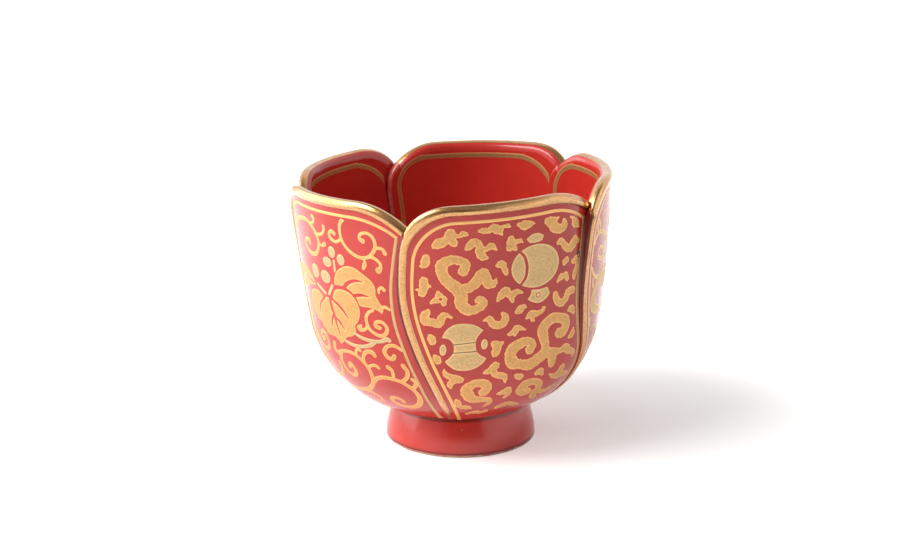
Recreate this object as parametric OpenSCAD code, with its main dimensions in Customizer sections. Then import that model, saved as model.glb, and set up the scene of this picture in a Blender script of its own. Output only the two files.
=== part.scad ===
// Sake cup of five lapped clay petals on a low foot ring, in millimetres.
// Each petal's leading edge laps over the tongue of the petal before it.
// A gilt roll finishes the lip and the leading edge of every petal.
// The origin is the centre of the foot on the table, with +Z up and the front towards -Y.

/* [Bowl] */
// Mean outside diameter of the petals at the lip
rim_d = 59.4; // [55:0.1:64]
// Height from the table to the lip, on the bowl's axis
cup_h = 52.6; // [48:0.1:60]
// Radius of the round lower bowl, seen from the side
belly_r = 21.4; // [19:0.1:24]
// Radius of the long side above the belly, seen from the side
side_r = 180; // [140:1:240]
// Diameter of the bowl's round where it reaches the height of the foot's neck
heel_d = 24.4; // [23:0.1:25.4]
// Thickness of the petal wall
wall = 2; // [1.6:0.1:2.6]
// Lean of the lip towards the left, in degrees
lip_lean = 2; // [0:0.1:3]
// Offset of the lip from the bowl's seat, towards the left
lip_shift = 0.9; // [0:0.1:2]

/* [Petals] */
// Step from a petal's leading edge down to the tongue under it, at the lip
lip_step = 2; // [1.6:0.1:2.4]
// The same step where the petals stand on the floor
seat_step = 0.6; // [0.5:0.1:1]
// Width of the tongue that reaches past the gilt roll under the next petal
tongue_w = 3.3; // [1.6:0.1:3.6]
// Corner radius at the top of the leading edge
lead_corner_r = 9; // [6:0.5:10]
// Corner radius at the top of the tongue
tongue_corner_r = 13; // [10:0.5:14]
// Azimuth of the front petal's leading edge at the lip, counted from the front
first_seam = -16.3; // [-36:0.1:36]
// Turn of a seam from the lip down to the floor, in degrees
seam_swing = 10.7; // [0:0.1:14]
// Share of the height over which a seam makes that turn, from the floor up
swing_share = 0.69; // [0.5:0.01:1]
// Sideways bow of a seam at half height, in degrees
seam_bow = 4.3; // [0:0.1:7]

/* [Gilt roll] */
// Height of the roll along the lip
lip_roll_w = 1.8; // [1.4:0.1:2.4]
// Width of the roll at the top of the leading edge
edge_roll_w = 1.5; // [1.2:0.1:2.2]
// Width of the roll where it stands on the floor
seat_roll_w = 0.8; // [0.6:0.1:1.2]
// Height of the roll's crown above the petal, at the lip
lip_crown = 0.5; // [0.3:0.05:0.8]
// Height of the crown where the roll stands on the floor
seat_crown = 0.25; // [0.15:0.05:0.5]

/* [Floor] */
// Thickness of the floor in the middle
floor_t = 2.4; // [1.8:0.1:3]
// Height of the hollow under the floor
recess_h = 4.2; // [3:0.1:5]
// Height of the petals' seat above the neck of the foot
seat_rise = 1.6; // [1.2:0.1:2.4]

/* [Foot] */
// Outside diameter of the foot ring just above the table
foot_d = 29.2; // [28:0.1:32]
// Outside diameter of the foot ring at its neck
neck_d = 26.6; // [25:0.1:27]
// Height of the neck, where the foot meets the bowl
neck_h = 7; // [6:0.1:8]
// Bore of the foot ring
foot_bore_d = 22.6; // [20:0.1:23.6]
// Rounding at the ring's outer bottom edge
foot_edge_r = 0.5; // [0.3:0.1:1]
// Chamfer at the ring's inner bottom edge
foot_chamfer = 0.6; // [0.3:0.1:1]
// Offset of the hand-set bowl from the foot's centre, towards the left
bowl_shift = 0.9; // [0:0.05:1.5]

/* [Hidden] */

petal_count = 5;
// Turn of each petal's seam away from an even spacing, front petal first, in degrees
petal_turn = [0, 0.5, 1.3, 2.8, 0.8];
// Rounder corner of single tongues, front petal first
tongue_more_r = [0, 0, 0, 0, 2.5];
// Slip-filled gap between luted faces that lap
joint_gap = 0.08;
// Gap along the lip between a roll's end and the next petal's roll
roll_end_gap = 0.3;
// Run of the slope that ends the rebate over a tongue
rebate_run = 0.3;
// Length of the leading edge under its corner that keeps the roll's full width
corner_drop = 1.5;
// Below 1, the roll widens sooner on its way up from the floor
roll_ease = 0.3;

enamel_red = "#b8352e";
gilt = "#b98a4a";
$fn = 96;

// Grid of a petal: columns over its tongue, over its face and round its tongue's corner, and rows
lap_cols = 3;
face_cols = 10;
lip_corner_cols = 3;
tongue_corner_cols = 4;
rows = 14;
// Rows lie closer together towards the belly's tight curve
row_ease = 1.5;

seat_z = neck_h + seat_rise;
// Rolls keep one width above this height, below every corner
corner_z = cup_h - lead_corner_r - corner_drop;

function mix(a, b, t) = a + (b - a) * t;
function degrees_of(arc, radius) = arc / radius * 180 / PI;
// The crossing of two circles that lies to the left of the way from the first to the second
function circles_meet(c1, r1, c2, r2) =
    let (
        way = c2 - c1,
        gap = norm(way),
        along = (r1 * r1 - r2 * r2 + gap * gap) / (2 * gap),
        aside = sqrt(r1 * r1 - along * along),
        ahead = way / gap
    )
    c1 + ahead * along + [-ahead.y, ahead.x] * aside;

// Side view of the bowl: a long side arc that is upright at the lip, and a belly arc that meets it
side_c = [rim_d / 2 - side_r, cup_h];
belly_c = circles_meet(side_c, side_r - belly_r, [heel_d / 2, neck_h], belly_r);
belly_top_z = side_c.y + (belly_c.y - side_c.y) * side_r / (side_r - belly_r);

function arc_c(z) = z < belly_top_z ? belly_c : side_c;
function arc_r(z) = z < belly_top_z ? belly_r : side_r;
// Width of the side arc or belly arc at a height, and the bowl's mean outside radius there
function arc_x(z) = sqrt(pow(arc_r(z), 2) - pow(z - arc_c(z).y, 2));
function bowl_r(z) = arc_c(z).x + arc_x(z);
// Level thickness of a wall that leans as the side view does
function level_wall(z) = wall * arc_r(z) / arc_x(z);

function rise(z) = (z - seat_z) / (cup_h - seat_z);
function lap_step(z) = mix(seat_step, lip_step, rise(z));
function edge_w(z) =
    mix(seat_roll_w, edge_roll_w, pow(min(1, (z - seat_z) / (corner_z - seat_z)), roll_ease));
function crown(z) = mix(seat_crown, lip_crown, rise(z));
// Reach of a tongue past the next petal's leading edge
function reach(z) = edge_w(z) + tongue_w;

// Azimuth of a petal's leading edge: all seams bow and swing alike
function seam_start(k) = first_seam + 360 / petal_count * k + petal_turn[k % petal_count];
function seam(k, z) =
    seam_start(k) + seam_swing * (1 + cos(180 * min(1, rise(z) / swing_share))) / 2
    - seam_bow * sin(180 * rise(z));
// Level arc from a petal's leading edge to the next one's, and to the end of its tongue
function pitch(k, z) = bowl_r(z) * (seam_start(k + 1) - seam_start(k)) * PI / 180;
function petal_w(k, z) = pitch(k, z) + reach(z) - joint_gap;

// Offset of the bowl's axis towards the left, which grows with height
function bowl_x(z) = bowl_shift + lip_shift * pow(rise(z), 2);

// A point of petal k: arc a from its leading edge, height z, and out from its outer face
function place(k, a, z, out) =
    let (
        azimuth = seam(k, z) + degrees_of(a, bowl_r(z)),
        radius = bowl_r(z) + lap_step(z) * (0.5 - a / pitch(k, z)) + out,
        x = radius * sin(azimuth)
    )
    [x - bowl_x(z), -radius * cos(azimuth), z + x * tan(lip_lean) * rise(z)];

// Top of the clay face at arc a: an arc inside the leading corner, then level under the lip's roll
function lead_angle(a) = acos(max(0, lead_corner_r - a) / (lead_corner_r - edge_roll_w));
function face_top(a) =
    [a, cup_h - lead_corner_r + (lead_corner_r - lip_roll_w) * sin(lead_angle(a))];
// Outline of the whole petal beside that point, at the top of the roll
function lip_top(a) = a > lead_corner_r
    ? [a, cup_h]
    : [0, cup_h] + lead_corner_r * [1 - cos(lead_angle(a)), sin(lead_angle(a)) - 1];
// Round the tongue's corner, inset from the outline
function tongue_r(k) = tongue_corner_r + tongue_more_r[k % petal_count];
function tongue_top(k, angle, inset) =
    let (z = cup_h - tongue_r(k) + (tongue_r(k) - inset) * cos(angle))
    [petal_w(k, z) - tongue_r(k) + (tongue_r(k) - inset) * sin(angle), z];
// The lip's roll ends just short of the notch, where it would run into the next petal's corner
lead_corner_c = [lead_corner_r, cup_h - lead_corner_r];
function roll_end(k) =
    let (
        tongue_c = [reach(cup_h) - tongue_r(k), cup_h - tongue_r(k)],
        notch = circles_meet(tongue_c, tongue_r(k), lead_corner_c, lead_corner_r) - tongue_c
    )
    atan2(notch.x, notch.y) - degrees_of(roll_end_gap, tongue_r(k));

// Arcs at the top of the columns, from the leading edge to the start of the tongue's corner
lap_arcs = [for (i = [0 : lap_cols - 1]) edge_roll_w + tongue_w * i / (lap_cols - 1)];
function face_arcs(k) =
    let (
        first = edge_roll_w + tongue_w + rebate_run,
        last = petal_w(k, cup_h - lip_roll_w) - tongue_r(k)
    )
    [for (i = [0 : face_cols]) mix(first, last, pow(i / face_cols, row_ease))];
function lip_corner_angles(k) = [for (i = [1 : lip_corner_cols]) roll_end(k) * i / lip_corner_cols];
function tongue_corner_angles(k) =
    [for (i = [0 : tongue_corner_cols]) mix(roll_end(k), 90, i / tongue_corner_cols)];

// Tops of a petal's columns as [arc, height], and the outline beside those that carry the roll
function column_tops(k) = concat(
    [for (a = lap_arcs) face_top(a)],
    [for (a = face_arcs(k)) face_top(a)],
    [for (angle = lip_corner_angles(k)) tongue_top(k, angle, lip_roll_w)],
    [for (angle = tongue_corner_angles(k)) tongue_top(k, angle, 0)]
);
function roll_tops(k) = concat(
    [for (a = lap_arcs) lip_top(a)],
    [for (a = face_arcs(k)) lip_top(a)],
    [for (angle = lip_corner_angles(k)) tongue_top(k, angle, 0)]
);

// A column keeps its share of the lap or of the face on the way down from its top
function in_lap(column) = column < lap_cols;
function face_start(z) = reach(z) + rebate_run;
function column_arc(k, column, top, z) = in_lap(column)
    ? edge_w(z) + top.x - edge_w(top.y)
    : mix(face_start(z), petal_w(k, z),
          (top.x - face_start(top.y)) / (petal_w(k, top.y) - face_start(top.y)));
// The clay is thinner where the petal laps over the neighbour's tongue
function thickness(column, z) = in_lap(column) ? lap_step(z) - joint_gap : level_wall(z);
function row_z(row, top_z) = mix(seat_z, top_z, pow(row / rows, row_ease));

// Both faces of a quad between four points of a grid
function quad(a, b, c, d) = [[a, b, c], [a, c, d]];
function joined(lists) = [for (list = lists) each list];

// Clay petal: a curved slab with a rebate along its leading edge and a tongue at its far edge
module petal(k) {
    tops = column_tops(k);
    last = len(tops) - 1;
    side = (last + 1) * (rows + 1);
    outer = [for (i = [0 : last]) for (j = [0 : rows])
        let (z = row_z(j, tops[i].y))
        place(k, column_arc(k, i, tops[i], z), z, 0)];
    inner = [for (i = [0 : last]) for (j = [0 : rows])
        let (z = row_z(j, tops[i].y))
        place(k, column_arc(k, i, tops[i], z), z, -thickness(i, z))];
    function at(i, j) = i * (rows + 1) + j;
    function in(i, j) = side + at(i, j);
    skins = [for (i = [0 : last - 1]) for (j = [0 : rows - 1]) concat(
        quad(at(i, j), at(i, j + 1), at(i + 1, j + 1), at(i + 1, j)),
        quad(in(i, j), in(i + 1, j), in(i + 1, j + 1), in(i, j + 1))
    )];
    ends = [for (i = [0 : last - 1]) concat(
        quad(at(i, 0), at(i + 1, 0), in(i + 1, 0), in(i, 0)),
        quad(at(i + 1, rows), at(i, rows), in(i, rows), in(i + 1, rows))
    )];
    edges = [for (j = [0 : rows - 1]) concat(
        quad(at(0, j + 1), at(0, j), in(0, j), in(0, j + 1)),
        quad(at(last, j), at(last, j + 1), in(last, j + 1), in(last, j))
    )];
    polyhedron(concat(outer, inner), joined(concat(skins, ends, edges)));
}

// Section of the roll: share of its width from the clay to the outline, and height in crowns
// or depths, from the inner corner over the crown to the underside
roll_section = [
    [0, -1], [0, 0], [0.12, 0.6], [0.35, 1], [0.62, 0.95],
    [0.86, 0.45], [1, -0.25], [1, -0.6], [0.9, -0.9], [0.72, -1]
];

// Gilt roll: up the leading edge from the floor, round the corner and along the lip to the notch
module gilt_roll(k) {
    tops = column_tops(k);
    outline = roll_tops(k);
    count = len(roll_section);
    // Stations as [column, clay point, outline point]
    edge_stations = [for (j = [0 : rows - 1])
        let (z = row_z(j, tops[0].y))
        [0, [edge_w(z), z], [0, z]]];
    lip_stations = [for (i = [0 : len(outline) - 1]) [i, tops[i], outline[i]]];
    stations = concat(edge_stations, lip_stations);
    last = len(stations) - 1;
    points = [for (s = stations) for (p = roll_section)
        let (
            spot = mix(s[1], s[2], p.x),
            out = p.y > 0 ? p.y * crown(s[1].y) : p.y * thickness(s[0], s[1].y)
        )
        place(k, spot.x, spot.y, out)];
    function at(s, p) = s * count + p % count;
    skin = [for (s = [0 : last - 1]) for (p = [0 : count - 1])
        quad(at(s, p), at(s, p + 1), at(s + 1, p + 1), at(s + 1, p))];
    foot_cap = [for (p = [1 : count - 2]) [at(0, 0), at(0, p + 1), at(0, p)]];
    lip_cap = [for (p = [1 : count - 2]) [at(last, 0), at(last, p), at(last, p + 1)]];
    polyhedron(points, concat(joined(skin), foot_cap, lip_cap));
}

module front_petal() { color(enamel_red) petal(0); }
module right_petal() { color(enamel_red) petal(1); }
module back_petal() { color(enamel_red) petal(2); }
module back_left_petal() { color(enamel_red) petal(3); }
module left_petal() { color(enamel_red) petal(4); }
module front_gilt_roll() { color(gilt) gilt_roll(0); }
module right_gilt_roll() { color(gilt) gilt_roll(1); }
module back_gilt_roll() { color(gilt) gilt_roll(2); }
module back_left_gilt_roll() { color(gilt) gilt_roll(3); }
module left_gilt_roll() { color(gilt) gilt_roll(4); }

// The round of the bowl below a height, filled to its axis
module belly(top_z) {
    translate([-bowl_shift, 0, 0])
        rotate_extrude()
            intersection() {
                square([rim_d, top_z]);
                union() {
                    translate(belly_c) circle(belly_r);
                    translate([0, belly_c.y - belly_r]) square([belly_c.x, belly_r]);
                }
            }
}

// Floor: a seat for the petals, a dished top, and a round boss inside the foot ring
module cup_floor() {
    dish_rim_r = bowl_r(seat_z) - seat_step / 2 - level_wall(seat_z);
    dish_h = seat_z - recess_h - floor_t;
    dish_r = (dish_rim_r * dish_rim_r + dish_h * dish_h) / (2 * dish_h);
    color(enamel_red)
        difference() {
            union() {
                belly(seat_z);
                translate([0, 0, recess_h])
                    cylinder(r = foot_bore_d / 2 - joint_gap, h = neck_h - recess_h);
            }
            translate([-bowl_shift, 0, seat_z - dish_h + dish_r]) sphere(dish_r, $fn = 180);
        }
}

// Foot ring: a slightly flared ring whose top is fitted to the round of the bowl
module foot_ring() {
    foot_r = foot_d / 2;
    bore_r = foot_bore_d / 2;
    flare = (foot_r - neck_d / 2) / (neck_h - foot_edge_r);
    top_z = seat_z;
    color(enamel_red)
        difference() {
            rotate_extrude() {
                polygon([
                    [bore_r + foot_chamfer, 0],
                    [foot_r - foot_edge_r, 0],
                    [foot_r - foot_edge_r, foot_edge_r],
                    [foot_r, foot_edge_r],
                    [neck_d / 2 - flare * (top_z - neck_h), top_z],
                    [bore_r, top_z],
                    [bore_r, foot_chamfer]
                ]);
                translate([foot_r - foot_edge_r, foot_edge_r]) circle(foot_edge_r);
            }
            belly(cup_h);
        }
}

front_petal();
right_petal();
back_petal();
back_left_petal();
left_petal();
front_gilt_roll();
right_gilt_roll();
back_gilt_roll();
back_left_gilt_roll();
left_gilt_roll();
cup_floor();
foot_ring();
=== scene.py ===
# Looks of a sake cup of five lapped petals: enamel, gilding, light and camera, in metres
import math

import bpy
import numpy as np
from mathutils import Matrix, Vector
from mathutils.geometry import delaunay_2d_cdt


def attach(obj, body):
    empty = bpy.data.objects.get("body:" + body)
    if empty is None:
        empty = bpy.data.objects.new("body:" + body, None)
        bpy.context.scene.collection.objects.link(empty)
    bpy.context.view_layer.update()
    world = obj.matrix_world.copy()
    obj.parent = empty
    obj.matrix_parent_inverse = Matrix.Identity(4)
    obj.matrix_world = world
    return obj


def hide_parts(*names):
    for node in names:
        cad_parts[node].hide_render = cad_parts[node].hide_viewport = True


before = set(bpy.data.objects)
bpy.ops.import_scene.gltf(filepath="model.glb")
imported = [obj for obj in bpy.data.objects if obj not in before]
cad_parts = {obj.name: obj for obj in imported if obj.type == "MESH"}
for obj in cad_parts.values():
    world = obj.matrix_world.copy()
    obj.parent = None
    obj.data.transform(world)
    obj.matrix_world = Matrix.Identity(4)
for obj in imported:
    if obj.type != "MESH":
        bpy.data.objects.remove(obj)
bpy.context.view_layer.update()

# Sizes of the cup in millimetres, most of them as in the solid model
MM = 0.001
RIM_D = 59.4
CUP_H = 52.6
BELLY_R = 21.4
SIDE_R = 180.0
HEEL_D = 24.4
WALL = 2.0
LIP_LEAN = math.radians(2.0)
LIP_SHIFT = 0.9
LIP_STEP = 2.0
SEAT_STEP = 0.6
SHOWN_SEAT_STEP = 0.3
STEP_EASE = 2.6
FULL_LEAD = 1
LEAD_SHARE = 0.5
TONGUE_W = 3.3
LEAD_CORNER_R = 9.0
TONGUE_CORNER_R = 13.0
FIRST_SEAM = math.radians(-16.3)
SEAM_SWING = math.radians(10.7)
SWING_SHARE = 0.69
SEAM_BOW = math.radians(4.3)
LIP_ROLL_W = 1.8
EDGE_ROLL_W = 1.5
SEAT_ROLL_W = 0.8
ROLL_EASE = 0.3
LIP_CROWN = 0.5
SEAT_CROWN = 0.25
RECESS_H = 4.2
SEAT_RISE = 1.6
FOOT_D = 29.2
NECK_D = 26.6
NECK_H = 7.0
FOOT_BORE_D = 22.6
FOOT_EDGE_R = 0.5
FOOT_CHAMFER = 0.6
BOWL_SHIFT = 0.9
PETAL_TURN = [math.radians(turn) for turn in (0, 0.5, 1.3, 2.8, 0.8)]
TONGUE_MORE_R = (3, 0, 0, 0, 2.5)
TONGUE_FALL = (0.6, 1, 1, 1, 1)
JOINT_GAP = 0.08
ROLL_END_GAP = 0.3
REBATE_RUN = 0.3
CORNER_DROP = 1.5
CORNER_FULL = 0.55
TONGUE_TURN = 0.95
LAP_FADE = 1.2
# Width of the paler edge on a petal's inner face: thinner glaze, with a painted highlight
THIN_HIGHLIGHT_W = 0.6

PETALS = ("front", "right", "back", "back_left", "left")
SEAT_Z = NECK_H + SEAT_RISE
CORNER_Z = CUP_H - LEAD_CORNER_R - CORNER_DROP
# The enamelled outside runs on below the seat, down to the crease above the foot
SKIRT_ABOVE_NECK = 0.35
SKIRT_Z = NECK_H + SKIRT_ABOVE_NECK


def mix(a, b, t):
    return a + (b - a) * t


def part_of(value, low, high):
    """Share of the way from low to high, kept between 0 and 1."""
    return np.clip((value - low) / (high - low), 0, 1)


def eased(share):
    return share * share * (3 - 2 * share)


def with_ends(p):
    """Points of a line with one more beyond each end."""
    return np.vstack([2 * p[0] - p[1], p, 2 * p[-1] - p[-2]])


def smooth(p, q, r, s, t):
    """Points of a smooth curve at shares t of the way from q to r, with p before and s after them."""
    start = 2 * q + (r - p) * t + (2 * p - 5 * q + 4 * r - s) * t**2
    return 0.5 * (start + (3 * q - p - 3 * r + s) * t**3)


def circles_meet(c1, r1, c2, r2):
    """The crossing of two circles to the left of the way from the first to the second."""
    c1 = np.array(c1, float)
    way = np.array(c2, float) - c1
    gap = math.hypot(*way)
    along = (r1 * r1 - r2 * r2 + gap * gap) / (2 * gap)
    aside = math.sqrt(r1 * r1 - along * along)
    ahead = way / gap
    return c1 + ahead * along + np.array([-ahead[1], ahead[0]]) * aside


SIDE_C = np.array([RIM_D / 2 - SIDE_R, CUP_H])
BELLY_C = circles_meet(SIDE_C, SIDE_R - BELLY_R, (HEEL_D / 2, NECK_H), BELLY_R)
BELLY_TOP_Z = SIDE_C[1] + (BELLY_C[1] - SIDE_C[1]) * SIDE_R / (SIDE_R - BELLY_R)


def arc_x(z):
    belly = np.sqrt(np.maximum(0, BELLY_R**2 - (z - BELLY_C[1]) ** 2))
    side = np.sqrt(np.maximum(0, SIDE_R**2 - (z - SIDE_C[1]) ** 2))
    return np.where(z < BELLY_TOP_Z, belly, side)


def bowl_r(z):
    return np.where(z < BELLY_TOP_Z, BELLY_C[0], SIDE_C[0]) + arc_x(z)


def level_wall(z):
    return WALL * np.where(z < BELLY_TOP_Z, BELLY_R, SIDE_R) / arc_x(z)


def rise(z):
    return (z - SEAT_Z) / (CUP_H - SEAT_Z)


def lap_step(z):
    return mix(SEAT_STEP, LIP_STEP, rise(z))


def shown_step(z):
    """Step at a seam as it looks: it fades out below the middle of the cup."""
    return mix(SHOWN_SEAT_STEP, LIP_STEP, np.maximum(0, rise(z)) ** STEP_EASE)


def lead_out(k, z):
    """How far a petal's leading edge stands out of the plain bowl."""
    fuller = LEAD_SHARE if k % len(PETALS) == FULL_LEAD else 0
    return mix(shown_step(z), lap_step(z), fuller) / 2


def edge_w(z):
    return mix(SEAT_ROLL_W, EDGE_ROLL_W, part_of(z, SEAT_Z, CORNER_Z) ** ROLL_EASE)


def crown(z):
    return mix(SEAT_CROWN, LIP_CROWN, rise(z))


def reach(z):
    return edge_w(z) + TONGUE_W


def seam_start(k):
    return FIRST_SEAM + 2 * math.pi / len(PETALS) * k + PETAL_TURN[k % len(PETALS)]


def seam(k, z):
    up = rise(z)
    swing = SEAM_SWING * (1 + np.cos(np.pi * np.clip(up / SWING_SHARE, 0, 1))) / 2
    return seam_start(k) + swing - SEAM_BOW * np.sin(np.pi * up)


def pitch(k, z):
    return bowl_r(z) * (seam_start(k + 1) - seam_start(k))


def petal_w(k, z):
    return pitch(k, z) + reach(z) - JOINT_GAP


def bowl_x(z):
    return BOWL_SHIFT + LIP_SHIFT * rise(z) ** 2


def place(k, a, z, out):
    """Points of petal k, in metres: arc a from its leading edge, height z, out from its face."""
    azimuth = seam(k, z) + a / bowl_r(z)
    tongue_out = lead_out(k + 1, z) - shown_step(z)
    radius = bowl_r(z) + mix(lead_out(k, z), tongue_out, a / pitch(k, z)) + out
    x = radius * np.sin(azimuth)
    lift = x * math.tan(LIP_LEAN) * np.maximum(0, rise(z))
    return np.stack([x - bowl_x(z), -radius * np.cos(azimuth), z + lift], axis=-1) * MM


def lead_angle(a):
    return np.arccos(np.clip((LEAD_CORNER_R - a) / (LEAD_CORNER_R - EDGE_ROLL_W), 0, 1))


def face_top(a):
    z = CUP_H - LEAD_CORNER_R + (LEAD_CORNER_R - LIP_ROLL_W) * np.sin(lead_angle(a))
    return np.stack([a, z], axis=-1)


def lip_top(a):
    angle = lead_angle(a)
    full_r = LEAD_CORNER_R + CORNER_FULL * np.sin(2 * angle) ** 2
    x = np.where(a > LEAD_CORNER_R, a, LEAD_CORNER_R - full_r * np.cos(angle))
    z = np.where(a > LEAD_CORNER_R, CUP_H, CUP_H - LEAD_CORNER_R + full_r * np.sin(angle))
    return np.stack([x, z], axis=-1)


def tongue_r(k):
    return TONGUE_CORNER_R + TONGUE_MORE_R[k]


def tongue_fall(k, angle):
    """Fall of a tongue's corner in radii, and the lean of its outline: slow at first, then round."""
    flat = TONGUE_FALL[k]
    share = eased(part_of(angle, TONGUE_TURN, math.pi / 2))
    drop = mix(flat * np.sin(angle) ** 2 / 2, 1 - np.cos(angle), share)
    return drop, mix(np.arctan(flat * np.sin(angle)), angle, share)


def tongue_top(k, angle, inset):
    drop, lean = tongue_fall(k, angle)
    z = CUP_H - tongue_r(k) * drop - inset * np.cos(lean)
    a = petal_w(k, z) - tongue_r(k) * (1 - np.sin(angle)) - inset * np.sin(lean)
    return np.stack([a, z], axis=-1)


def roll_end(k):
    """Angle round the tongue's corner at which its roll ends, just short of the notch."""
    angle = np.linspace(0, math.pi / 2, 400)
    tongue = tongue_top(k, angle, 0)
    lead = lip_top(np.linspace(EDGE_ROLL_W, LEAD_CORNER_R, 200))
    beside = tongue[:, 0] - pitch(k, tongue[:, 1])
    below = tongue[:, 1] < np.interp(beside, lead[:, 0], lead[:, 1], left=0)
    return angle[np.argmax(below)] - ROLL_END_GAP / tongue_r(k)


# Grid of the visual petals: columns over the lap, the face and the tongue's corner
LAP_COLS = 11
FACE_COLS = 54
LIP_CORNER_COLS = 12
TONGUE_CORNER_COLS = 22
ROWS = 62
ROW_EASE = 1.15
TOP_ROWS = (1.0, 0.75, 0.55, 0.38, 0.24, 0.13, 0.05, 0.0)


def column_tops(k):
    lap = EDGE_ROLL_W + TONGUE_W * np.linspace(0, 1, LAP_COLS) ** 2
    first = EDGE_ROLL_W + TONGUE_W + REBATE_RUN
    last = float(petal_w(k, CUP_H - LIP_ROLL_W)) - tongue_r(k)
    face = mix(first, last, np.linspace(0, 1, FACE_COLS))
    lip_corner = roll_end(k) * np.linspace(0, 1, LIP_CORNER_COLS + 1)[1:]
    tongue = mix(roll_end(k), math.pi / 2, np.linspace(0, 1, TONGUE_CORNER_COLS))
    arcs = np.concatenate([lap, face])
    tops = np.concatenate(
        [face_top(arcs), tongue_top(k, lip_corner, LIP_ROLL_W), tongue_top(k, tongue, 0)]
    )
    outline = np.concatenate([lip_top(arcs), tongue_top(k, lip_corner, 0)])
    return tops, outline


def column_arc(k, column, top, z):
    in_lap = column < LAP_COLS
    lap = edge_w(z) + top[..., 0] - edge_w(top[..., 1])
    start = reach(top[..., 1]) + REBATE_RUN
    share = (top[..., 0] - start) / (petal_w(k, top[..., 1]) - start)
    face = mix(reach(z) + REBATE_RUN, petal_w(k, z), share)
    return np.where(in_lap, lap, face)


def thickness(k, column, a, z):
    """Thin in the lap, as far up as the neighbour's tongue fills it."""
    k_below = (k - 1) % len(PETALS)
    angle = np.arcsin(np.clip((a - reach(z)) / tongue_r(k_below) + 1, 0, 1))
    filled_z = CUP_H - tongue_r(k_below) * tongue_fall(k_below, angle)[0]
    above = np.clip((z - filled_z) / LAP_FADE + 1, 0, 1)
    in_lap = mix(shown_step(z) - JOINT_GAP, level_wall(z), above)
    return np.where(column < LAP_COLS, in_lap, level_wall(z))


def rounded(depth, radius):
    """How far a rounded edge falls away at a depth inside the outline."""
    left = np.clip(radius - depth, 0, radius)
    return radius - np.sqrt(np.maximum(0, radius**2 - left**2))


def added(name, data):
    """A new object in the scene."""
    made = bpy.data.objects.new(name, data)
    bpy.context.scene.collection.objects.link(made)
    return made


def new_piece(name, points, faces, slots, replaced=None, face_slots=None, sharp=50):
    mesh = bpy.data.meshes.new(name)
    mesh.from_pydata(np.asarray(points).tolist(), [], [tuple(face) for face in faces])
    mesh.validate()
    piece = added(name, mesh)
    for made in slots:
        mesh.materials.append(made)
    if face_slots is not None:
        mesh.polygons.foreach_set("material_index", np.asarray(face_slots, np.int32))
    mesh.shade_smooth()
    mesh.set_sharp_from_angle(angle=math.radians(sharp))
    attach(piece, "root")
    if replaced:
        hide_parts(replaced)
    return piece


def store(piece, name, values):
    """Keep a number for each point of a piece, for its material to read."""
    layer = piece.data.attributes.new(name, "FLOAT", "POINT")
    layer.data.foreach_set("value", np.asarray(values, np.float32).ravel())


def grid_faces(columns, rows, first=0, flip=False, closed=False):
    faces = []
    wide = columns if closed else columns - 1
    for i in range(wide):
        here = first + i * rows
        beside = first + (i + 1) % columns * rows
        for r in range(rows - 1):
            face = [here + r, here + r + 1, beside + r + 1, beside + r]
            faces.append(face if flip else face[::-1])
    return faces


# Materials: enamel, painted gold, burnished gilding and bare clay
RED = (0.60, 0.036, 0.024)
DARK_RED = (0.52, 0.028, 0.019)
PINHOLE_TINT = (0.62, 0.33, 0.27)
PINHOLE_R = 0.055
PINHOLE_CORE = 0.6
# Pale pink along a tongue's edge: thinner glaze, with a painted highlight
THIN_AND_HIGHLIGHT_TINT = (0.55, 0.20, 0.17)
BARE_TINT = (0.62, 0.47, 0.30)
# Near-black red of pooled glaze with painted shade, for the rolls' flanks and under the bowl
POOL_AND_SHADE_TINT = (0.05, 0.012, 0.008)
ENAMEL_IOR = 1.55
BRUSH_BRIGHT = 1.2
BRUSH_EDGE = 0.9
# Scales of the textures, as features in a metre
TONE_SCALE = 90
RIPPLE_SCALE = 260
PINHOLE_SCALE = 420
WEAR_SCALE = 520
PATCH_SCALE = 700
GLOSS_SCALE = 1400
CLAY_SCALE = 1800
GILT_SCALE = 2400
FINE_SCALE = 2600
# Scales along and across the streaks of the rolls
STREAK_SCALE = 1.0
SCUFF_SCALE = 2.4


def material(name):
    made = bpy.data.materials.new(name)
    made.use_nodes = True
    tree = made.node_tree
    return made, tree, tree.nodes["Principled BSDF"]


def join(tree, value, socket):
    """Link an output to a socket, or give the socket a plain value."""
    if isinstance(value, bpy.types.NodeSocket):
        tree.links.new(value, socket)
    else:
        socket.default_value = value


def dress(tree, made, values):
    """Join values to a node's inputs by name."""
    for name, value in values.items():
        join(tree, value, made.inputs[name])


def node(tree, kind, *values, **settings):
    """A new node with its settings, and values for its first inputs."""
    made = tree.nodes.new(kind)
    for name, value in settings.items():
        setattr(made, name, value)
    for socket, value in zip(made.inputs, values):
        join(tree, value, socket)
    return made


def maths(tree, operation, *values):
    return node(tree, "ShaderNodeMath", *values, operation=operation).outputs[0]


def vector_maths(tree, operation, *values, output="Vector"):
    return node(tree, "ShaderNodeVectorMath", *values, operation=operation).outputs[output]


def noise(tree, coords, scale, detail=3.0, rough=0.5):
    made = node(tree, "ShaderNodeTexNoise", coords)
    dress(tree, made, {"Scale": scale, "Detail": detail, "Roughness": rough})
    return made.outputs["Fac"]


def ramp(tree, value, *stops):
    """Colour between two stops, each a place and a colour."""
    made = node(tree, "ShaderNodeValToRGB", value)
    for element, (position, colour) in zip(made.color_ramp.elements, stops):
        element.position = position
        element.color = (*colour, 1)
    return made.outputs["Color"]


def span(tree, value, low, high, to_low, to_high):
    """A value between two limits taken to another range."""
    return node(tree, "ShaderNodeMapRange", value, low, high, to_low, to_high).outputs["Result"]


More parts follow.
